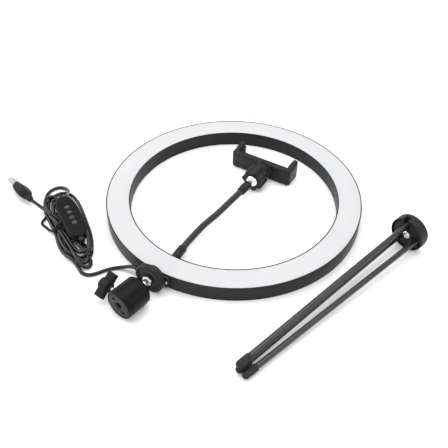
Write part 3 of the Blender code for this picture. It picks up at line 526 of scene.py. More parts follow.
def bake(obj, sharp=32):
    """Replace an object's mesh by what its modifiers make of it."""
    bpy.context.view_layer.update()
    evaluated = obj.evaluated_get(bpy.context.evaluated_depsgraph_get())
    mesh = bpy.data.meshes.new_from_object(evaluated)
    obj.modifiers.clear()
    obj.data = mesh
    mesh.shade_smooth()
    mesh.set_sharp_from_angle(angle=radians(sharp))
    return obj


def combine(obj, others, operation="DIFFERENCE"):
    """Cut or join helper shapes, which are then removed. It works in millimetres."""
    for other in (obj, *others):
        other.data.transform(Matrix.Scale(1000, 4))
    for other in others:
        step = obj.modifiers.new(other.name, "BOOLEAN")
        step.operation = operation
        step.object = other
        step.solver = "EXACT"
    bake(obj)
    obj.data.transform(Matrix.Scale(0.001, 4))
    for other in others:
        bpy.data.objects.remove(other, do_unlink=True)
    return obj


def twin(obj):
    """A copy of a helper shape, for a second cut."""
    copied = bpy.data.objects.new(obj.name + "_twin", obj.data.copy())
    bpy.context.scene.collection.objects.link(copied)
    return copied


def gather(name, objects):
    """Several shapes as one object."""
    bm = bmesh.new()
    for obj in objects:
        bm.from_mesh(obj.data)
        bpy.data.objects.remove(obj, do_unlink=True)
    return as_object(name, bm)


def mount(obj, body, slot, *replaced, paint=None):
    """Give a piece its finish and its body, and hide the solids that it stands for."""
    obj.data.materials.clear()
    obj.data.materials.append(PAINTS[paint or slot])
    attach(obj, body)
    if replaced:
        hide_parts(*replaced)
    return obj


def phillips(name, radius, height, cross, sink=0.0):
    """Domed screw head about Z with a cross recess; its underside is at station zero."""
    profile = [(0.0, 0.0), (radius, 0.0), (radius, height * 0.45), (radius * 0.82, height * 0.85),
               (radius * 0.4, height), (0.0, height)]
    head = lathe(name, fillet(profile, radius * 0.2), 48)
    blades = []
    for angle in (0.0, pi / 2):
        blade = rounded_box(f"{name}_blade_{len(blades)}", (-cross, -cross * 0.22, height * 0.35),
                            (cross, cross * 0.22, height * 1.6), cross * 0.1, 0.00002)
        blades.append(place(blade, (0, 0, sink), Matrix.Rotation(angle, 3, "Z")))
    return combine(head, blades)


make_camera()
PAINTS = make_paints()


# ---- cords: the hank, its two leads and what is on them -----------------------------------
HANK_AT = CENTRE + Vector((-0.1262, -0.1247, 0.0))
HANK_TURN = Matrix.Rotation(radians(-32.4), 3, "Z")


def on_hank(points):
    """Points given in millimetres along and across the hank and up, in the model's frame."""
    return [HANK_AT + HANK_TURN @ Vector((s, t, z)) * 0.001 for s, t, z in points]


def half_turn(tip, across, width, z_in, z_out, side):
    """One end of a hank turn: out along one side, round a half circle and back again."""
    reach = tip - width if tip > 0 else tip + width
    facing = 1 if tip > 0 else -1
    points = [(reach * 0.45, across * 0.55 + side * width * 0.75, z_in)]
    for k in range(5):
        angle = radians(90 - 45 * k) * side
        height = z_in + (z_out - z_in) * k / 4
        points.append((reach + facing * width * cos(angle), across + width * sin(angle), height))
    points.append((reach * 0.45, across * 0.55 - side * width * 0.75, z_out))
    return points


def lead_routes():
    """Routes of the lead from the ring to the controller, and on from there to the plug."""
    exit_run = [CENTRE + Vector(p) for p in (
        (-0.0221, -0.1325, 0.0085), (-0.0292, -0.1326, 0.0073), (-0.0372, -0.1343, 0.0040),
        (-0.0448, -0.1388, 0.0024), (-0.0496, -0.1462, 0.0019), (-0.0526, -0.1548, 0.0018),
        (-0.0572, -0.1618, 0.0018), (-0.0630, -0.1636, 0.0018), (-0.0688, -0.1604, 0.0018),
        (-0.0742, -0.1552, 0.0018))]
    first = [(44, -1.5, 1.8), (26, -2.4, 1.8), (8, -1.6, 1.8), (-8, -3.0, 1.8),
             (-24, -5.0, 1.8), (-38, -4.0, 1.8), (-46.5, 3, 1.8), (-50, 13, 1.8),
             (-46.5, 21, 1.8), (-35, 25.5, 1.8), (-18, 26.4, 1.8), (4, 25.6, 1.8),
             (22, 24.8, 1.8), (36, 22.6, 1.8), (47, 19, 2.2), (56, 14, 2.8), (60.5, 8.5, 3.2),
             (57, 3, 3.4), (46, 0.5, 3.6), (26, 0.6, 4.2), (8, 2.0, 5.0), (-8, 0.5, 5.0)]
    first += half_turn(-43, 8, 7.2, 4.6, 2.0, -1)
    first += [(8, 2.4, 1.8)]
    first += half_turn(70, 8.5, 6.0, 2.2, 4.6, 1)
    first += [(8, -1.4, 5.2)]
    first += half_turn(-38, 7, 7.0, 5.2, 5.0, -1)
    first += [(8, -4.2, 5.0), (18, -5.0, 4.4), (28, -5.2, 3.4), (42, -3.0, 2.8),
              (52, 1.5, 2.8), (58, 8, 3.6), (56.5, 14, 5.0), (50, 17.8, 7.4), (43, 18.9, 9.8),
              (38, 19.1, 11.2), (34.5, 19.0, 11.4)]
    second = [(-26.5, 13.6, 11.4), (-30.0, 15.2, 11.2), (-34.5, 17.6, 9.8),
              (-40.5, 20.6, 7.0), (-48.5, 22.8, 5.0), (-56.5, 20.5, 3.0), (-60.5, 13.5, 1.8),
              (-58, 4, 1.8), (-49, -3, 1.8), (-35, -6.8, 1.8), (-22, -9.0, 1.8),
              (-8, -7.2, 1.8), (8, -5.2, 1.8), (16, -6.6, 1.8), (26, -8.4, 1.8),
              (40, -7.0, 1.8), (54, -1.0, 1.8), (63, 5, 2.4), (64.5, 10.5, 3.6),
              (58, 14.0, 4.6), (46, 12, 5.4), (26, 7.4, 6.6), (8, 1.6, 8.2), (-6, -2.6, 8.0)]
    second += half_turn(-46, 0.5, 7.6, 6.2, 3.8, 1)
    second += [(8, -2.8, 8.0)]
    second += half_turn(55.0, 12.5, 7.2, 6.0, 8.0, -1)[:-1]
    second += [(44, 15.4, 8.6), (31.5, 12.9, 9.0), (18.6, 8.2, 9.6), (8, 4.0, 11.0),
               (-2, -0.4, 11.2), (-12, -4.6, 10.4), (-20.5, -7.8, 9.6), (-34.7, -14.2, 8.2)]
    tail = [CENTRE + Vector(p) for p in (
        (-0.1672, -0.1181, 0.0080), (-0.1704, -0.1177, 0.0082))]
    return exit_run + on_hank(first), on_hank(second) + tail


def in_controller(points, margin):
    """How far each point lies inside the controller's outline, seen from above; 0 outside."""
    local = (points - np.array(CONTROL_AT)) @ np.array(CONTROL_TURN)
    share = ((np.abs(local[:, 0]) / (CONTROL_LONG + margin)) ** 2.2
             + (np.abs(local[:, 1]) / (0.0110 + margin)) ** 2.2)
    return np.clip(1 - share, 0, 1), local


def settle_leads(leads, rounds):
    """Let the leads' turns push each other apart and sink on to the floor, keeping their lie."""
    lengths = [len(lead) for lead in leads]
    points = np.concatenate(leads)
    start = points.copy()
    lead_of = np.repeat(np.arange(len(leads)), lengths)
    index = np.arange(len(points))
    near = (np.abs(index[:, None] - index[None, :]) < 5) & (lead_of[:, None] == lead_of[None, :])
    fixed = np.zeros(len(points), bool)
    ends = np.cumsum([0, *lengths])
    for low, high in zip(ends, ends[1:]):
        fixed[low:low + 4] = True
        fixed[high - 4:high] = True
    free = ~fixed[:, None]
    inner = free.copy()
    inner[ends[1:] - 1] = False
    inner[ends[:-1]] = False
    thick = 2 * CORD_RADIUS * 1.01
    under = CONTROL_AT.z - CORD_RADIUS - 0.0001
    for _ in range(rounds):
        gap = points[:, None, :] - points[None, :, :]
        far = np.linalg.norm(gap, axis=2) + 1e-9
        touch = (far < thick) & ~near
        push = np.where(touch, (thick - far) / far, 0.0)[:, :, None] * gap
        shift = push.sum(1) / np.maximum(touch.sum(1), 1)[:, None]
        shift[:, 2] *= 1.35
        shift[:, 2] -= 0.00003
        points = points + np.where(free, 0.5 * shift, 0.0)
        middle = points.copy()
        middle[1:-1] = (points[:-2] + points[2:]) / 2
        points = np.where(inner, points + 0.22 * (middle - points), points)
        lie = start - points
        lie[:, 2] = 0.0
        points = np.where(free, points + 0.02 * lie, points)
        inside, local = in_controller(points, CORD_RADIUS)
        below = (inside > 0) & (local[:, 2] < 0.0030) & ~fixed
        points[below, 2] = np.minimum(points[below, 2], under)
        beside = (inside > 0) & (local[:, 2] >= 0.0030) & (np.abs(local[:, 0]) < 0.027) & ~fixed
        outward = np.sign(local[beside, 1])[:, None] * np.array(CONTROL_TURN)[:, 1]
        points[beside] += 0.0004 * outward
        points[:, 2] = np.maximum(points[:, 2], CORD_RADIUS)
    return [points[low:high] for low, high in zip(ends, ends[1:])]


def cord_curve(name, points, radius):
    curve = bpy.data.curves.new(name, "CURVE")
    curve.dimensions = "3D"
    curve.bevel_depth = radius
    curve.bevel_resolution = 5
    curve.use_fill_caps = True
    spline = curve.splines.new("POLY")
    spline.points.add(len(points) - 1)
    for point, at in zip(spline.points, points):
        point.co = (*at, 1.0)
    spline.use_smooth = True
    obj = bpy.data.objects.new(name, curve)
    bpy.context.scene.collection.objects.link(obj)
    return obj


def smoothed(points, rounds):
    points = np.array(points)
    for _ in range(rounds):
        points[1:-1] = points[1:-1] * 0.5 + (points[:-2] + points[2:]) * 0.25
    return points


def control_outline(grow=0.0, count=72):
    """Egg-ended outline of the controller, in its own frame."""
    outline = []
    for i in range(count):
        angle = tau * i / count
        x = abs(cos(angle)) ** 0.62 * (1 if cos(angle) >= 0 else -1) * (CONTROL_LONG + grow)
        y = abs(sin(angle)) ** 0.78 * (1 if sin(angle) >= 0 else -1) * (CONTROL_WIDE + grow)
        outline.append((x, y))
    return outline


def symbol(kind, name):
    """Thin raised mark on a key: a ring with a bar, a cross, a bar or three dots."""
    thick, half = 0.00042, 0.0019
    marks = []
    if kind == "power":
        outer = [(half * cos(a), half * sin(a)) for a in
                 [radians(125 + 290 * i / 24) for i in range(25)]]
        inner = [((half - thick) * cos(a), (half - thick) * sin(a)) for a in
                 [radians(415 - 290 * i / 24) for i in range(25)]]
        marks.append(extrusion(name, outer + inner, 0, 0.00016, 0.00004, 1))
        marks.append(rounded_box(name + "_bar", (-thick / 2, 0.0002, 0), (thick / 2, half, 0.00016),
                                 0.0001, 0.00004))
    if kind in ("plus", "minus"):
        marks.append(rounded_box(name, (-half, -thick / 2, 0), (half, thick / 2, 0.00016),
                                 0.0001, 0.00004))
    if kind == "plus":
        for side in (-1, 1):
            ends = sorted((side * thick * 0.5, side * half))
            marks.append(rounded_box(f"{name}_arm_{side}", (-thick / 2, ends[0], 0),
                                     (thick / 2, ends[1], 0.00016), 0.0001, 0.00004))
    if kind == "tones":
        for k in (-1, 0, 1):
            dot = lathe(f"{name}_dot_{k}", [(0.0, 0.0), (0.00055, 0.0), (0.0005, 0.00016),
                                           (0.0, 0.00016)], 20)
            marks.append(place(dot, (k * 0.0015, 0, 0)))
    return gather(name, marks)


def pebble(name, outline, low, high, edge, rings=6):
    """Outline raised from low to high, its layers shrinking toward the centre at both rims."""
    wide = max(point.x for point in outline)
    deep = max(point.y for point in outline)
    turns = [pi / 2 * k / rings for k in range(rings + 1)]
    lower = [(low + edge * (1 - sin(a)), edge * (1 - cos(a))) for a in reversed(turns)]
    layers = lower + [(low + high - z, inward) for z, inward in reversed(lower)]
    bm = bmesh.new()
    loops = []
    for z, inward in layers:
        across, down = 1 - inward / wide, 1 - inward / deep
        loops.append([bm.verts.new((p.x * across, p.y * down, z)) for p in outline])
    return skin(name, bm, loops)


def make_controller():
    """Inline controller: two shells, the upper one crowned, with four keys and their marks."""
    outline = [Vector(p) for p in control_outline()]
    base = pebble("controller_lower", outline, 0.0, CONTROL_HALF, 0.0018)
    place(base, CONTROL_AT, CONTROL_TURN)
    mount(base, "light", "satin_black_plastic", "controller_base", paint="deep_black_plastic")
    lid = pebble("controller_upper", outline, 0.0, CONTROL_HALF, 0.0020)
    groove = rounded_box("seam_groove", (-0.00018, -0.02, CONTROL_HALF - 0.0003),
                         (0.00018, 0.02, 0.01), 0.0001, 0.00005)
    windows = []
    for i in range(4):
        x = (i - 1.5) * KEY_PITCH
        windows.append(rounded_box(f"window_{i}", (x - 0.0034, -0.0034, 0.0021),
                                   (x + 0.0034, 0.0034, 0.01), 0.0012, 0.0001))
    combine(lid, [groove, *windows])
    lid_at = CONTROL_AT + Vector((0, 0, CONTROL_HALF + GAP))
    mount(place(lid, lid_at, CONTROL_TURN), "light", "satin_black_plastic", "controller_cover",
          paint="deep_black_plastic")
    kinds = ("tones", "plus", "minus", "power")
    symbols = []
    for i, kind in enumerate(kinds):
        at = lid_at + CONTROL_TURN @ Vector(((i - 1.5) * KEY_PITCH, 0, 0))
        cap = rounded_box(f"key_cap_{i + 1}", (-0.0030, -0.0030, 0.0032),
                          (0.0030, 0.0030, 0.0045), 0.0011, 0.0004)
        mount(place(cap, at, CONTROL_TURN), f"key_{i + 1}", "black_rubber", f"button_{i + 1}")
        mark = symbol(kind, f"key_mark_{i + 1}")
        place(mark, at + Vector((0, 0, 0.00448)), CONTROL_TURN @ Matrix.Rotation(pi / 2, 3, "Z"))
        red = "key_print_red" if kind == "power" else "key_print"
        mount(mark, f"key_{i + 1}", "black_rubber", paint=red)
        symbols += [cap, mark]
    boots = []
    for facing, label in ((-1, "upper"), (1, "lower")):
        profile = [(0.0, -0.002), (0.0031, -0.002), (0.0029, 0.0015), (0.0023, 0.0052),
                   (CORD_RADIUS, 0.0054), (0.0, 0.0054)]
        boot = lathe(f"controller_boot_{label}", fillet(profile, 0.0003), 40)
        direction = CONTROL_TURN @ Vector((facing, 0, 0))
        at = CONTROL_AT + CONTROL_TURN @ Vector((facing * 0.0312, 0, CONTROL_HALF + 0.0001))
        mount(place(boot, at, heading(direction)), "light", "black_rubber")
        boots.append(boot)
    return [base, lid, *symbols], boots


def loft(name, sections, sides=48, power=0.55):
    """Closed form through rounded oblong sections of (station, half width, half height) on X."""
    bm = bmesh.new()
    loops = []
    for station, width, height in sections:
        loop = []
        for i in range(sides):
            c, q = cos(tau * i / sides), sin(tau * i / sides)
            y = abs(c) ** power * (1 if c >= 0 else -1) * width
            z = abs(q) ** power * (1 if q >= 0 else -1) * height
            loop.append(bm.verts.new((station, y, z)))
        loops.append(loop)
    return skin(name, bm, loops)


def make_plug():
    """USB plug on its side: folded shell with two windows, full overmould, ribbed tail."""
    front = PLUG_SHELL_LENGTH
    outline = [(-0.0060, -0.00225), (0.0060, -0.00225), (0.0060, 0.00225), (-0.0060, 0.00225)]
    shell = extrusion("plug_sleeve", outline, 0.0, front + 0.0010, 0.0001, 1, corner=0.0005)
    mouth = rounded_box("mouth", (-0.0056, -0.00185, -0.001), (0.0056, 0.00185, 0.0090),
                        0.0003, 0.00002)
    windows = [rounded_box(f"plug_window_{k}", (k * 0.0025 - 0.0011, 0.0005, 0.0040),
                           (k * 0.0025 + 0.0011, 0.0040, 0.0063), 0.0002, 0.00002)
               for k in (-1, 1)]
    combine(shell, [mouth, *windows])
    side_up = Matrix(((0, 0, 1), (1, 0, 0), (0, 1, 0)))
    mount(place(shell, PLUG_AT, PLUG_TURN @ side_up), "light", "bright_steel", "plug_shell",
          paint="plug_steel")
    tongue = rounded_box("plug_tongue", (0.0012, -0.0050, -0.0014), (0.0092, 0.0050, 0.0003),
                         0.0003, 0.0001)
    mount(place(tongue, PLUG_AT, PLUG_TURN), "light", "nylon")
    grip = loft("plug_grip", [
        (front, 0.0062, 0.0036), (front + 0.0004, 0.0066, 0.0040),
        (front + 0.0030, 0.0071, 0.0043), (front + 0.0055, 0.0072, 0.0048),
        (front + 0.0110, 0.0072, 0.0055), (front + 0.0150, 0.0069, 0.0055),
        (front + 0.0190, 0.0058, 0.0050), (front + 0.0215, 0.0044, 0.0041),
        (front + 0.0224, 0.0038, 0.0036)])
    ribs = []
    for k in range(4):
        for side in (-1, 1):
            x = front + 0.0060 + 0.0022 * k
            low, high = sorted((side * 0.0050, side * 0.0090))
            ribs.append(rounded_box(f"rib_{k}_{side}", (x, -0.0045, low), (x + 0.0007, 0.0045, high),
                                    0.0002, 0.0001))
    combine(grip, ribs)
    mount(place(grip, PLUG_AT, PLUG_TURN), "light", "matte_black_plastic", "plug_body")
    profile = [(0.0, 0.0), (0.0036, 0.0), (0.0036, 0.0016), (0.0027, 0.0019), (0.0027, 0.0024),
               (0.0034, 0.0027), (0.0032, 0.0048), (0.0025, 0.0051), (0.0024, 0.0056),
               (0.0028, 0.0059), (0.0026, 0.0068), (CORD_RADIUS, 0.0072), (0.0, 0.0072)]
    tail = lathe("plug_tail", fillet(profile, 0.0003), 40)
    at = PLUG_AT + PLUG_TURN @ Vector((front + 0.0222, 0, 0))
    mount(place(tail, at, heading(PLUG_TURN @ Vector((1, 0, 0)))), "light", "black_rubber")
    return [shell, tongue, grip, tail]


def make_tie():
    """Twist tie round the hank's waist, its slack standing out to one side as a loop."""
    route = on_hank([(7.5, 8.4, 8.0), (7.3, 7.0, 12.2), (7.2, 3.7, 14.0), (8.2, 0.0, 13.4),
                     (9.4, -3.4, 11.6), (9.6, -6.8, 8.0), (7.4, -9.0, 4.4), (2.5, -11.4, 2.2),
                     (-3.0, -13.2, 1.5), (-7.6, -15.2, 1.4), (-10.6, -15.8, 1.4),
                     (-13.2, -14.6, 1.4), (-15.8, -12.0, 1.5), (-18.5, -9.5, 1.6)])
    tie = sweep("twist_tie_wire", curve_through(route, 0.0008), 0.0013, 16)
    return mount(tie, "light", "matte_black_plastic", "twist_tie")


def make_gland():
    """Tapered sleeve where the lead leaves the ring's bracket."""
    profile = [(0.0, 0.0), (0.0026, 0.0), (0.0026, 0.0012), (0.0032, 0.0014), (0.0032, 0.0026),
               (0.0027, 0.0029), (0.0025, 0.0046), (0.0021, 0.0050), (0.0023, 0.0054),
               (0.0021, 0.0072), (CORD_RADIUS, 0.0076), (0.0, 0.0076)]
    gland = lathe("cord_sleeve", fillet(profile, 0.0003), 48)
    at = CENTRE + Vector((-0.0144, -0.1325, 0.0085))
    return mount(place(gland, at, heading((-1, 0, 0))), "light", "black_rubber", "cord_gland")


def make_leads():
    first, second = lead_routes()
    leads = [curve_through(route, 0.0021) for route in (first, second)]
    leads = settle_leads(leads, 260)
    leads = [curve_through(smoothed(lead, 7), 0.0012) for lead in leads]
    shells, boots = make_controller()
    to_ring = cord_curve("lead_to_ring", leads[0], CORD_RADIUS)
    to_plug = cord_curve("lead_to_plug", leads[1], CORD_RADIUS)
    mount(to_ring, "light", "matte_black_plastic", "cord_to_hank", "cord_hank",
          paint="cord_jacket")
    mount(to_plug, "light", "matte_black_plastic", "cord_to_plug", paint="cord_jacket")
    make_gland()
    make_tie()
    make_plug()


# ---- ring ---------------------------------------------------------------------------------
def make_ring():
    ledge = RING_HEIGHT - 0.0025
    wall_out, wall_in = RING_OUTER - RING_WALL, RING_INNER + RING_WALL
    rim_out, rim_in = RING_OUTER - RIM_WALL, RING_INNER + RIM_WALL
    web_low, web_top = 0.0060, 0.0078
    section = [
        (RING_OUTER, RING_HEIGHT), (RING_OUTER, 0.0), (wall_out, 0.0), (wall_out, web_low),
        (wall_in, web_low), (wall_in, 0.0), (RING_INNER, 0.0), (RING_INNER, RING_HEIGHT),
        (rim_in, RING_HEIGHT), (rim_in, ledge), (wall_in, ledge), (wall_in, web_top),
        (wall_out, web_top), (wall_out, ledge), (rim_out, ledge), (rim_out, RING_HEIGHT)]
    body = lathe("ring_body", fillet(section, 0.00035, closed=True, steps=3), 288, closed=True)
    mount(body, "light", "satin_black_plastic", "ring_frame")
    place(body, CENTRE)
    inner, outer = rim_in + GAP * 0.4, rim_out - GAP * 0.4
    top = RING_HEIGHT - 0.0002
    section = [(outer, top), (outer, top - 0.0020), (inner, top - 0.0020), (inner, top)]
    cover = lathe("diffuser_ring", fillet(section, 0.0004, closed=True, steps=3), 288,
                  closed=True)
    mount(place(cover, CENTRE), "light", "opal_diffuser", "diffuser")
    make_back_cover()
    make_chips(web_top + GAP + 0.0012)


def make_back_cover():
    """Back cover with two raised bands, vents near the driver and four sunk screws."""
    inner = RING_INNER + RING_WALL + GAP * 0.5
    outer = RING_OUTER - RING_WALL - GAP * 0.5
    middle = (inner + outer) / 2
    section = [(outer, 0.0020), (outer, 0.0002), (outer - 0.0030, 0.0002),
               (outer - 0.0033, 0.0006), (outer - 0.0040, 0.0006), (outer - 0.0043, 0.0002),
               (inner + 0.0043, 0.0002), (inner + 0.0040, 0.0006), (inner + 0.0033, 0.0006),
               (inner + 0.0030, 0.0002), (inner, 0.0002), (inner, 0.0020)]
    cover = lathe("back_panel", fillet(section, 0.00015, closed=True, steps=2), 240, closed=True)
    cutters = []
    for i in range(4):
        angle = pi / 4 + tau * i / 4
        at = Vector((middle * cos(angle), middle * sin(angle), 0))
        seat = lathe(f"seat_{i}", [(0.0, -0.001), (0.0027, -0.001), (0.0025, 0.0013),
                                   (0.0, 0.0013)], 40)
        cutters.append(place(seat, at))
        screw = phillips(f"back_screw_head_{i + 1}", 0.0021, 0.0011, 0.0013)
        flip = Matrix.Rotation(pi, 3, "X")
        mount(place(screw, CENTRE + at + Vector((0, 0, 0.0013)), flip), "light", "bright_steel",
              f"back_screw_{i + 1}", paint="dark_steel")
    for i in range(14):
        angle = radians(-90 + (i - 6.5) * 2.3)
        slot = rounded_box(f"vent_{i}", (-0.0035, -0.0005, -0.001), (0.0035, 0.0005, 0.0012),
                           0.0004, 0.0001)
        at = Vector((middle * cos(angle), middle * sin(angle), 0))
        cutters.append(place(slot, at, Matrix.Rotation(angle, 3, "Z")))
    combine(cover, [gather("back_cuts", cutters)])
    mount(place(cover, CENTRE), "light", "matte_black_plastic", "back_cover")


def make_chips(height):
    """Two rows of chips on the board under the diffuser, their phosphor face up."""
    cases = []
    for radius, count in ((0.1135, 60), (0.1225, 60)):
        for i in range(count):
            angle = tau * (i + (radius > 0.12) * 0.5) / count
            case = rounded_box(f"chip_{radius}_{i}", (-0.0014, -0.0018, 0.0001),
                               (0.0014, 0.0018, 0.0009), 0.0003, 0.0001)
            at = CENTRE + Vector((radius * cos(angle), radius * sin(angle), height))
            cases.append(place(case, at, Matrix.Rotation(angle, 3, "Z")))
    mount(gather("led_chips", cases), "light", "white_circuit_board", paint="led_phosphor")


def make_bracket():
    """Saddle on the ring's wall with a raised boss, its insert and two screws."""
    toward = heading((0, -1, 0))
    outline = [(-0.0142, 0.0020), (0.0142, 0.0020), (0.0142, 0.0150), (-0.0142, 0.0150)]
    saddle = extrusion("bracket_saddle", outline, 0.1270, 0.1318, 0.0006, corner=0.0030)
    upright = Matrix(((1, 0, 0), (0, 0, -1), (0, 1, 0)))
    place(saddle, (0, 0, 0), upright)
    profile = [(0.0, 0.1310), (0.0086, 0.1310), (0.0086, BOSS_FACE), (0.0, BOSS_FACE)]
    boss = place(lathe("boss", fillet(profile, 0.0005), 72), (0, 0, STUD_Z), toward)
    combine(saddle, [boss], "UNION")
    hug = rod("hug", RING_OUTER + 0.0001, -0.02, 0.05, 288)
    bore = place(rod("bore", 0.0052, 0.1318, 0.14, 48), (0, 0, STUD_Z), toward)
    combine(saddle, [hug, bore])
    mount(place(saddle, CENTRE), "light", "satin_black_plastic", "mount_block")
    for side, label in ((-1, "left"), (1, "right")):
        screw = phillips(f"bracket_screw_head_{label}", 0.0019, 0.0012, 0.0011)
        at = CENTRE + Vector((side * 0.0116, -0.1319, 0.0095))
        mount(place(screw, at, toward), "light", "bright_steel", f"bracket_screw_{label}")
        washer = [(0.0027, 0.0), (0.0027, 0.0006), (0.0021, 0.0006), (0.0021, 0.0)]
        ring = lathe(f"bracket_ring_{label}", fillet(washer, 0.00015, True, 2), 40, closed=True)
        mount(place(ring, at, toward), "light", "satin_black_plastic")


# ---- ball head ----------------------------------------------------------------------------
def head_directions():
    base = Vector((cos(HEAD_YAW), sin(HEAD_YAW), 0.0))
    right = Vector((cos(HEAD_YAW + pi / 2), sin(HEAD_YAW + pi / 2), 0.0))
    notch = right * cos(NOTCH_DROP) - Vector((0, 0, sin(NOTCH_DROP)))
    return base, right, notch


def make_platform():
    toward = heading((0, -1, 0))
    axis = CENTRE + Vector((0, 0, STUD_Z))
    floor = DISC_FACE - 0.0020
    section = [(DISC_RADIUS - 0.0005, DISC_FACE), (DISC_RADIUS, DISC_FACE - 0.0010),
               (DISC_RADIUS, DISC_BACK + 0.0006), (DISC_RADIUS - 0.0006, DISC_BACK),
               (0.0034, DISC_BACK), (0.0034, floor), (0.0066, floor), (0.0072, floor + 0.0004),
               (DISC_RADIUS - 0.0030, floor + 0.0004), (DISC_RADIUS - 0.0019, DISC_FACE)]
    disc = lathe("platform_cup", fillet(section, 0.0004, closed=True, steps=3), 128, closed=True)
    mount(place(disc, axis, toward), "platform", "satin_black_plastic", "platform_disc")
    hexagon = [(0.0052 * cos(tau * i / 6 + 0.42), 0.0052 * sin(tau * i / 6 + 0.42))
               for i in range(6)]
    nut = extrusion("platform_nut", hexagon, floor + GAP, floor + 0.0040, 0.0004, 2,
                    corner=0.0005)
    mount(place(nut, axis, toward), "platform", "chrome")
    ball, stem = -BALL_AT.y + CENTRE.y, 0.0032
    profile = arc(BALL_RADIUS, ball, pi / 2, -pi / 2 + asin(stem / BALL_RADIUS), 32)
    profile += [(stem, floor + 0.0062), (stem + 0.0004, floor + 0.0058),
                (stem + 0.0004, floor + 0.0034), (0.0030, floor + 0.0034), (0.0030, 0.1328),
                (0.0, 0.1328)]
    profile[0] = (0.0, ball + BALL_RADIUS)
    stud = lathe("ball_and_stem", profile, 72)
    mount(place(stud, axis, toward), "platform", "chrome", "ball_stud")


def make_head():
    base, right, notch = head_directions()
    along = heading(base)
    floor = HEAD_BASE - BASE_PLATE_THICK
    mouth = arc(HEAD_SOCKET, 0.0, asin(HEAD_MOUTH / HEAD_SOCKET), radians(-6), 8)
    section = [(HEAD_RADIUS - 0.0009, HEAD_BASE), (HEAD_RADIUS, HEAD_BASE - 0.0009),
               (HEAD_RADIUS, HEAD_MOUTH + 0.0026), (HEAD_RADIUS - 0.0024, HEAD_MOUTH),
               *mouth, (HEAD_BORE, 0.0), (HEAD_BORE, floor - GAP), (PLATE_SEAT, floor - GAP),
               (PLATE_SEAT, HEAD_BASE)]
    housing = lathe("head_body", fillet(section, 0.0006, closed=True, steps=4), 160, closed=True)
    place(housing, BALL_AT, along)
    half = NOTCH_WIDTH / 2
    across = base.cross(notch)
    outline = [(-half, -0.03), (half, -0.03)]
    outline += [(half * cos(a), half * sin(a)) for a in [pi * i / 20 for i in range(21)]]
    outline = [p for i, p in enumerate(outline) if i == 0 or p != outline[i - 1]]
    slot = extrusion("slot", outline, 0.0, 0.02, 0.0001, 1)
    notch_turn = Matrix((across, base, notch)).transposed()
    cutters = [place(slot, BALL_AT, notch_turn)]
    hole = rod("clamp_hole", 0.0023, 0.004, 0.02, 40)
    clamp_at = BALL_AT + base * CLAMP_STATION
    cutters.append(place(hole, clamp_at, heading(-right)))
    for k in range(3):
        station = HEAD_BASE - 0.0024 - 0.0017 * k
        ring = [BALL_AT + base * station + (right * cos(a) + Vector((0, 0, sin(a)))) *
                (HEAD_RADIUS + 0.0001) for a in [radians(-52 + 4 * i) for i in range(26 - 2 * k)]]
        cutters.append(sweep(f"finger_groove_{k}", ring, 0.00055, 12))
    dot_way = (-right * cos(radians(48)) + Vector((0, 0, sin(radians(48))))).normalized()
    dot = rod("mark_pit", 0.0007, HEAD_RADIUS - 0.0003, HEAD_RADIUS + 0.002, 24)
    dot_at = BALL_AT + base * 0.0040
    cutters.append(place(dot, dot_at, heading(dot_way)))
    combine(housing, cutters)
    mount(housing, "ball_head", "satin_black_plastic", "head_housing",
          paint="deep_black_plastic")
    make_base_plate(base, right, along, floor)
    return clamp_at, base, right


def make_base_plate(base, right, along, floor):
    """Round end plate with a threaded camera socket and two sunk screws."""
    top = HEAD_BASE - 0.0002
    section = [(0.0122, floor), (0.0122, top), (0.0047, top), (0.0043, top - 0.0004)]
    pitch, station = THREAD_PITCH, top - 0.0004
    while station > floor + pitch:
        section += [(0.0033, station - 0.0002), (0.0030, station - pitch / 2),
                    (0.0033, station - pitch + 0.0002)]
        station -= pitch
    section.append((0.0033, floor))
    plate = lathe("base_end_plate", fillet(section, 0.00025, closed=True, steps=2), 120,
                  closed=True)
    place(plate, BALL_AT, along)
    line = right * cos(pi / 4) - Vector((0, 0, sin(pi / 4)))
    pits = []
    for i, side in enumerate((-1, 1)):
        at = BALL_AT + line * side * 0.0078
        pit = lathe(f"pit_{i}", [(0.0, floor + 0.0016), (0.0016, floor + 0.0016),
                                 (0.0018, HEAD_BASE + 0.001), (0.0, HEAD_BASE + 0.001)], 40)
        pits.append(place(pit, at, along))
        screw = phillips(f"base_screw_head_{i + 1}", 0.0014, 0.0008, 0.0008)
        mount(place(screw, at + base * (floor + 0.0018), along), "ball_head",
              "black_painted_metal", f"base_screw_{i + 1}")
    combine(plate, pits)
    # Its paint is lighter than the housing's, as a painted reflection on the end face.
    mount(plate, "ball_head", "satin_black_plastic", "base_plate", paint="end_plate_painted_sheen")


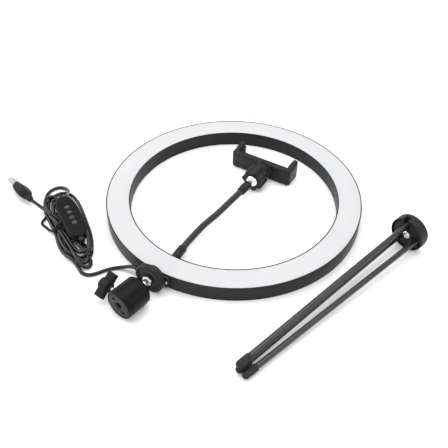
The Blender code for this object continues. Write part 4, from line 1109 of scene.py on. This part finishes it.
def make_knob(clamp_at, base, right):
    """Wing knob on its steel screw, with a dark collar under it."""
    left, up = -right, Vector((0, 0, 1))
    wing = -base * cos(WING_ANGLE) + up * sin(WING_ANGLE)
    turn = Matrix((wing, left.cross(wing), left)).transposed()
    profile = [(0.0, KNOB_FACE), (0.0054, KNOB_FACE), (0.0062, KNOB_FACE + 0.0010),
               (0.0062, KNOB_END - 0.0016), (0.0050, KNOB_END - 0.0004), (0.0030, KNOB_END),
               (0.0, KNOB_END)]
    hub = lathe("wing_knob", fillet(profile, 0.0008), 72)
    wings = []
    for side in (-1, 1):
        ends = sorted((side * 0.0020, side * WING_SPAN))
        shift = side * 0.0008
        blade = rounded_box(f"blade_{side}", (ends[0], shift - 0.0026, KNOB_FACE + 0.0002),
                            (ends[1], shift + 0.0026, WING_END), 0.0005, 0.0005)
        wings.append(blade)
    combine(hub, wings, "UNION")
    bore = rod("knob_bore", 0.0022, KNOB_FACE - 0.001, KNOB_FACE + 0.0085, 40)
    combine(hub, [bore])
    mount(place(hub, clamp_at, turn), "clamp_knob", "matte_black_plastic", "knob")
    profile = [(0.0, 0.0080), (0.0016, 0.0080), (0.0019, 0.0083), (0.0019, KNOB_FACE + 0.0080),
               (0.0, KNOB_FACE + 0.0080)]
    screw = lathe("clamp_shaft", profile, 48)
    mount(place(screw, clamp_at, turn), "clamp_knob", "bright_steel", "clamp_screw")
    ring = [(0.0036, KNOB_FACE - 0.0017), (0.0036, KNOB_FACE - 0.0001),
            (0.00205, KNOB_FACE - 0.0001), (0.00205, KNOB_FACE - 0.0017)]
    collar = lathe("knob_collar", fillet(ring, 0.0004, closed=True, steps=3), 56, closed=True)
    mount(place(collar, clamp_at, turn), "clamp_knob", "black_rubber")


# ---- gooseneck ----------------------------------------------------------------------------
def make_neck():
    """Helically ribbed hose in four pieces, each round one joint, and its two ferrules."""
    root, collar_end, ball = NECK[0], NECK[1], NECK[-1]
    joints = NECK[2:6]
    last_way = (ball - joints[-1]).normalized()
    ferrule_start = (ball - joints[-1]).length - 0.0233
    stop = joints[-1] + last_way * (ferrule_start + 0.001)
    route = curve_through([root, collar_end, *joints, stop], 0.00025)

    def ribs(start):
        def size(along, angle):
            phase = 0.5 + 0.5 * cos(tau * (start + along) / RIB_PITCH - angle)
            return HOSE_RADIUS - 0.00055 + 0.0006 * phase ** 0.6
        return size

    spots = np.array(route)
    travelled = np.concatenate([[0], np.cumsum(np.linalg.norm(np.diff(spots, axis=0), axis=1))])
    sleeve_end = collar_end + (root - collar_end).normalized() * SLEEVE_SHORT
    cuts = [int(np.linalg.norm(spots - np.array(sleeve_end), axis=1).argmin()) - 4]
    for a, b in zip(joints, joints[1:]):
        cuts.append(int(np.linalg.norm(spots - np.array((a + b) / 2), axis=1).argmin()))
    cuts.append(len(route) - 1)
    for i, joint in enumerate(joints):
        low, high = cuts[i], cuts[i + 1]
        hose = sweep(f"hose_{i + 1}", route[low:high + 1], ribs(travelled[low]), 36)
        hose.data.materials.append(PAINTS["hose_cover"])
        if i < 3:
            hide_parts(f"neck_link_{i + 1}")
        near = int(np.linalg.norm(spots - np.array(joint), axis=1).argmin())
        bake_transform(hose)
    make_ferrules(root, collar_end, ball, last_way, ferrule_start)


def make_ferrules(root, collar_end, ball, last_way, ferrule_start):
    length = (collar_end - root).length - SLEEVE_SHORT
    profile = [(0.0, 0.0), (0.0044, 0.0), (0.0044, 0.0030), (0.0040, 0.0033), (0.0040, 0.0040),
               (0.0044, 0.0043), (0.0044, length - 0.0035), (0.0041, length - 0.0032),
               (0.0041, length - 0.0026), (0.0044, length - 0.0023), (0.0044, length - 0.0005),
               (0.0036, length), (0.0, length)]
    sleeve = lathe("root_sleeve", fillet(profile, 0.00025, steps=3), 64)
    mount(place(sleeve, root, heading(collar_end - root)), "light", "satin_black_plastic",
          "root_ferrule")
    start = NECK[5]
    shoulder = (ball - start).length - 0.0082
    profile = [(0.0, ferrule_start), (0.0037, ferrule_start), (0.0046, ferrule_start + 0.0007),
               (0.0046, ferrule_start + 0.0028), (0.0042, ferrule_start + 0.0031),
               (0.0042, ferrule_start + 0.0038), (0.0046, ferrule_start + 0.0041),
               (0.0046, shoulder - 0.0022), (0.0039, shoulder), (0.0, shoulder)]
    sleeve = lathe("tip_sleeve", fillet(profile, 0.00025, steps=3), 64)
    mount(place(sleeve, start, heading(last_way)), "neck_tip", "satin_black_plastic",
          "tip_ferrule")
    stem = 0.0030
    profile = arc(TIP_BALL_RADIUS, 0.0, pi / 2, -pi / 2 + asin(stem / TIP_BALL_RADIUS), 32)
    profile[0] = (0.0, TIP_BALL_RADIUS)
    profile += [(stem, -0.0090 + GAP), (0.0, -0.0090 + GAP)]
    tip = lathe("neck_ball", profile, 72)
    mount(place(tip, ball, heading(last_way)), "neck_tip", "chrome", "tip_ball")


# ---- phone holder -------------------------------------------------------------------------
def make_holder():
    at, turn = NECK[-1], HOLDER_TURN
    axis_turn = heading(turn @ Vector((0, 1, 0)))
    back, drop = CLAMP_BACK, CLAMP_DROP
    top = drop + CLAMP_HEIGHT
    seam = CLAMP_SEAM + GAP
    inside = CLAMP_RIGHT - JAW_THICK
    spine = rounded_bar("clamp_shell", (seam, back, drop),
                        (CLAMP_RIGHT - 0.0022, back + CLAMP_DEPTH, top), 0.0026)
    jaw = make_finger("fixed_jaw", inside, CLAMP_RIGHT)
    lip, cup = 0.0046, TIP_BALL_RADIUS + GAP
    profile = [(0.0, back + 0.001), (0.0098, back + 0.001), (0.0098, back - 0.0008),
               (0.0083, back - 0.0022), (0.0083, lip)]
    profile += arc(cup, 0.0, asin(lip / cup), pi / 2, 10)
    profile[-1] = (0.0, cup)
    boss = place(lathe("socket_boss", profile, 72), (0, 0, 0), heading((0, 1, 0)))
    combine(spine, [jaw, boss], "UNION")
    pocket = rounded_box("pocket", (CLAMP_SEAM - 0.001, back + 0.0019, drop + 0.0046),
                         (0.0092, back + 0.0056, drop + 0.0152), 0.0003, 0.0003)
    groove = rounded_box("top_groove", (seam + 0.002, back + 0.0047, top - 0.0005),
                         (inside - 0.0020, back + 0.0055, top + 0.002), 0.0003, 0.0001)
    combine(spine, [pocket, groove])
    mount(place(spine, at, turn), "holder", "satin_black_plastic", "clamp_body")

    outer = CLAMP_LEFT
    moving = rounded_bar("jaw_shell", (outer + 0.0022, back, drop),
                         (CLAMP_SEAM, back + CLAMP_DEPTH, top), 0.0026)
    finger = make_finger("jaw_finger", outer, outer + JAW_THICK)
    tongue = rounded_box("tongue", (CLAMP_SEAM - 0.002, back + 0.0022, drop + 0.0049),
                         (0.0020, back + 0.0053, drop + 0.0149), 0.0003, 0.0003)
    combine(moving, [finger, tongue], "UNION")
    mount(place(moving, at, turn), "jaw", "satin_black_plastic", "sliding_jaw")

    make_pad("fixed_grip", inside - GAP, -1, "holder", "fixed_pad", at, turn)
    make_pad("sliding_grip", outer + JAW_THICK + GAP, 1, "jaw", "jaw_pad", at, turn)
    make_collar(at, axis_turn)


def make_finger(name, low, high):
    """Jaw finger between two places along the clamp: a side profile with full, soft sides."""
    back, drop = CLAMP_BACK + 0.0006, CLAMP_DROP + 0.0002
    tip, peak = CLAMP_BACK + JAW_REACH, CLAMP_DROP + JAW_HEIGHT
    root = CLAMP_DROP + CLAMP_HEIGHT
    side = [(back, drop), (tip, drop), (tip, peak), (tip - 0.0040, peak),
            (CLAMP_BACK + CLAMP_DEPTH, root), (back, root)]
    finger = extrusion(name, side, low, high, 0.0020, 5,
                       corner=[0.0024, 0.0030, 0.0026, 0.0030, 0.0030, 0.0024])
    return place(finger, (0, 0, 0), Matrix(((0, 0, 1), (1, 0, 0), (0, 1, 0))))


def make_pad(name, face, side, body, node, at, turn):
    """Ribbed rubber pad on the inner face of a jaw."""
    low, high = sorted((face, face + side * 0.0010))
    pad = rounded_box(name, (low, CLAMP_BACK + 0.0102, CLAMP_DROP + 0.0040),
                      (high, CLAMP_BACK + 0.0190, CLAMP_DROP + 0.0180), 0.0004, 0.0004)
    ribs = []
    for k in range(6):
        z = CLAMP_DROP + 0.0054 + 0.0022 * k
        a, b = sorted((face + side * 0.0006, face + side * 0.0014))
        ribs.append(rounded_box(f"{name}_{k}", (a, CLAMP_BACK + 0.0106, z),
                                (b, CLAMP_BACK + 0.0186, z + 0.0011), 0.0002, 0.0003))
    combine(pad, ribs, "UNION")
    mount(place(pad, at, turn), body, "black_rubber", node)


def make_collar(at, axis_turn):
    """Locking collar with seven finger lobes, open in the middle."""
    front, rear, depth = -0.0035, 0.0125, 0.0011
    outline = []
    for i in range(196):
        angle = tau * i / 196
        wave = cos(7 * angle)
        radius = 0.0110 + depth * (wave * 1.6 / (1 + 0.6 * abs(wave)))
        outline.append((radius * cos(angle), radius * sin(angle)))
    collar = extrusion("collar_ring", outline, front, rear, 0.0010, 4)
    bore = lathe("collar_bore", [(0.0, rear + 0.001), (0.0087, rear + 0.001), (0.0087, -0.0004),
                                 (0.0078, -0.0012), (0.0066, front + 0.0008),
                                 (0.0072, front - 0.001), (0.0, front - 0.001)], 96)
    combine(collar, [bore])
    mount(place(collar, at, axis_turn), "lock_collar", "satin_black_plastic", "lock_collar")


# ---- tripod -------------------------------------------------------------------------------
def tripod_axes():
    along = Vector((cos(HUB_YAW) * cos(HUB_DIP), sin(HUB_YAW) * cos(HUB_DIP), -sin(HUB_DIP)))
    right = Vector((-sin(HUB_YAW), cos(HUB_YAW), 0.0))
    return along, right, along.cross(right)


def make_tripod():
    along, right, up = tripod_axes()
    turn = heading(along)
    section = [(0.0033, 0.0), (HUB_RADIUS - 0.0020, 0.0), (HUB_RADIUS - 0.0005, 0.0006),
               (HUB_RADIUS, 0.0022), (HUB_RADIUS, HUB_LENGTH - 0.0006),
               (HUB_RADIUS - 0.0011, HUB_LENGTH), (HUB_RADIUS - 0.0014, HUB_LENGTH - 0.0006),
               (HUB_RADIUS - 0.0014, 0.0025), (0.0033, 0.0025)]
    cap = lathe("hub_shell", fillet(section, 0.0006, closed=True, steps=4), 144, closed=True)
    place(cap, HUB_AT, turn)
    core, face = HUB_RADIUS - 0.0017, HUB_LENGTH - 0.0014
    section = [(0.0062, face + 0.0010), (0.0068, face), (core - 0.0008, face),
               (core, face - 0.0006), (core, 0.0028), (0.0033, 0.0028), (0.0033, HUB_LENGTH - 0.0018),
               (0.0052, HUB_LENGTH - 0.0018), (0.0052, face + 0.0010)]
    flange = lathe("hub_under", fillet(section, 0.0004, closed=True, steps=3), 144, closed=True)
    place(flange, HUB_AT, turn)
    cutters = []
    for i in range(3):
        cutters += make_leg(i, along, right, up)
    combine(cap, [twin(cutter) for cutter in cutters])
    mount(cap, "tripod", "satin_black_plastic", "hub_cap")
    combine(flange, cutters)
    mount(flange, "tripod", "satin_black_plastic", "hub_flange")
    make_bolt(turn)


def make_bolt(turn):
    """Centre bolt: cross-slotted head under the hub, quarter-inch thread on the other side."""
    head = phillips("bolt_head", 0.0043, 0.0022, 0.0027)
    mount(place(head, HUB_AT + turn @ Vector((0, 0, HUB_LENGTH - 0.0016)), turn), "tripod",
          "chrome", "centre_bolt")
    profile = [(0.0, HUB_LENGTH - 0.0017), (0.0030, HUB_LENGTH - 0.0017), (0.0030, -0.0002)]
    pitch, station = THREAD_PITCH, -0.0002
    while station > -0.0050:
        profile += [(0.0030, station - 0.0002), (0.0026, station - pitch / 2),
                    (0.0030, station - pitch + 0.0002)]
        station -= pitch
    profile += [(0.0023, -0.0056), (0.0, -0.0056)]
    shank = lathe("bolt_thread", profile, 48)
    mount(place(shank, HUB_AT, turn), "tripod", "chrome")
    ring = [(0.0052, HUB_LENGTH - 0.0012), (0.0052, HUB_LENGTH + 0.0003),
            (0.0045, HUB_LENGTH + 0.0003), (0.0045, HUB_LENGTH - 0.0012)]
    washer = lathe("bolt_ring", fillet(ring, 0.0002, closed=True, steps=2), 64, closed=True)
    mount(place(washer, HUB_AT, turn), "tripod", "black_rubber")


def make_leg(index, along, right, up):
    """One leg with its rubber foot; returns what it cuts out of the hub."""
    angle = pi / 2 + HUB_SPIN + tau * index / 3
    out = right * cos(angle) + up * sin(angle)
    across = out.cross(along)
    pivot = HUB_AT + along * LEG_PIVOT_STATION + out * LEG_PIVOT_RADIUS
    foot = HUB_AT + along * (LEG_PIVOT_STATION + LEG_LENGTH) + out * FOOT_SPREAD[index]
    way = (foot - pivot).normalized()
    length = (foot - pivot).length
    body = f"leg_{index + 1}"
    profile = arc(LEG_RADIUS, 0.0, -pi / 2, 0.0, 10)
    profile += [(LEG_RADIUS, length - FOOT_LENGTH + 0.0005), (0.0, length - FOOT_LENGTH + 0.0005)]
    tube = lathe(f"leg_{index + 1}_rod", profile, 48)
    mount(place(tube, pivot, heading(way)), body, "black_painted_metal",
          f"leg_{index + 1}_tube")
    start = length - FOOT_LENGTH
    profile = [(0.0, start - 0.0002), (FOOT_RADIUS - 0.0006, start - 0.0002),
               (FOOT_RADIUS, start + 0.0006), (FOOT_RADIUS, start + 0.0020),
               (FOOT_RADIUS - 0.00025, start + 0.0023), (FOOT_RADIUS - 0.00025, start + 0.0027),
               (FOOT_RADIUS, start + 0.0030)]
    profile += arc(FOOT_RADIUS, length - FOOT_RADIUS, 0.0, pi / 2, 10)
    profile[-1] = (0.0, length)
    boot = lathe(f"foot_{index + 1}_boot", profile, 48)
    mount(place(boot, pivot, heading(way)), body, "black_rubber", f"foot_{index + 1}")
    half = LEG_RADIUS + GAP
    slot_turn = Matrix((across, out, along)).transposed()
    slot = rounded_box(f"leg_slot_{index}", (-half, -(LEG_RADIUS + 0.0006), -(LEG_RADIUS + 0.0007)),
                       (half, 0.02, 0.02), 0.0004, 0.0003)
    return [place(slot, pivot, slot_turn)]


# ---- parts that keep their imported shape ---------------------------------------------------
def repaint_nodes():
    finishes = {
        "led_board": "white_circuit_board", "driver_board": "green_circuit_board",
        "threaded_insert": "brass", "ball_pad": "nylon", "socket_liner": "nylon",
        "jaw_spring": "bright_steel", "leg_pin_1": "bright_steel",
        "leg_pin_2": "bright_steel", "leg_pin_3": "bright_steel"}
    for node, finish in finishes.items():
        NODES[node].data.materials.clear()
        NODES[node].data.materials.append(PAINTS[finish])
        NODES[node].data.shade_smooth()
        NODES[node].data.set_sharp_from_angle(angle=radians(35))


make_leads()
make_studio()
make_ring()
make_bracket()
make_platform()
make_knob(*make_head())
make_neck()
make_holder()
make_tripod()
repaint_nodes()
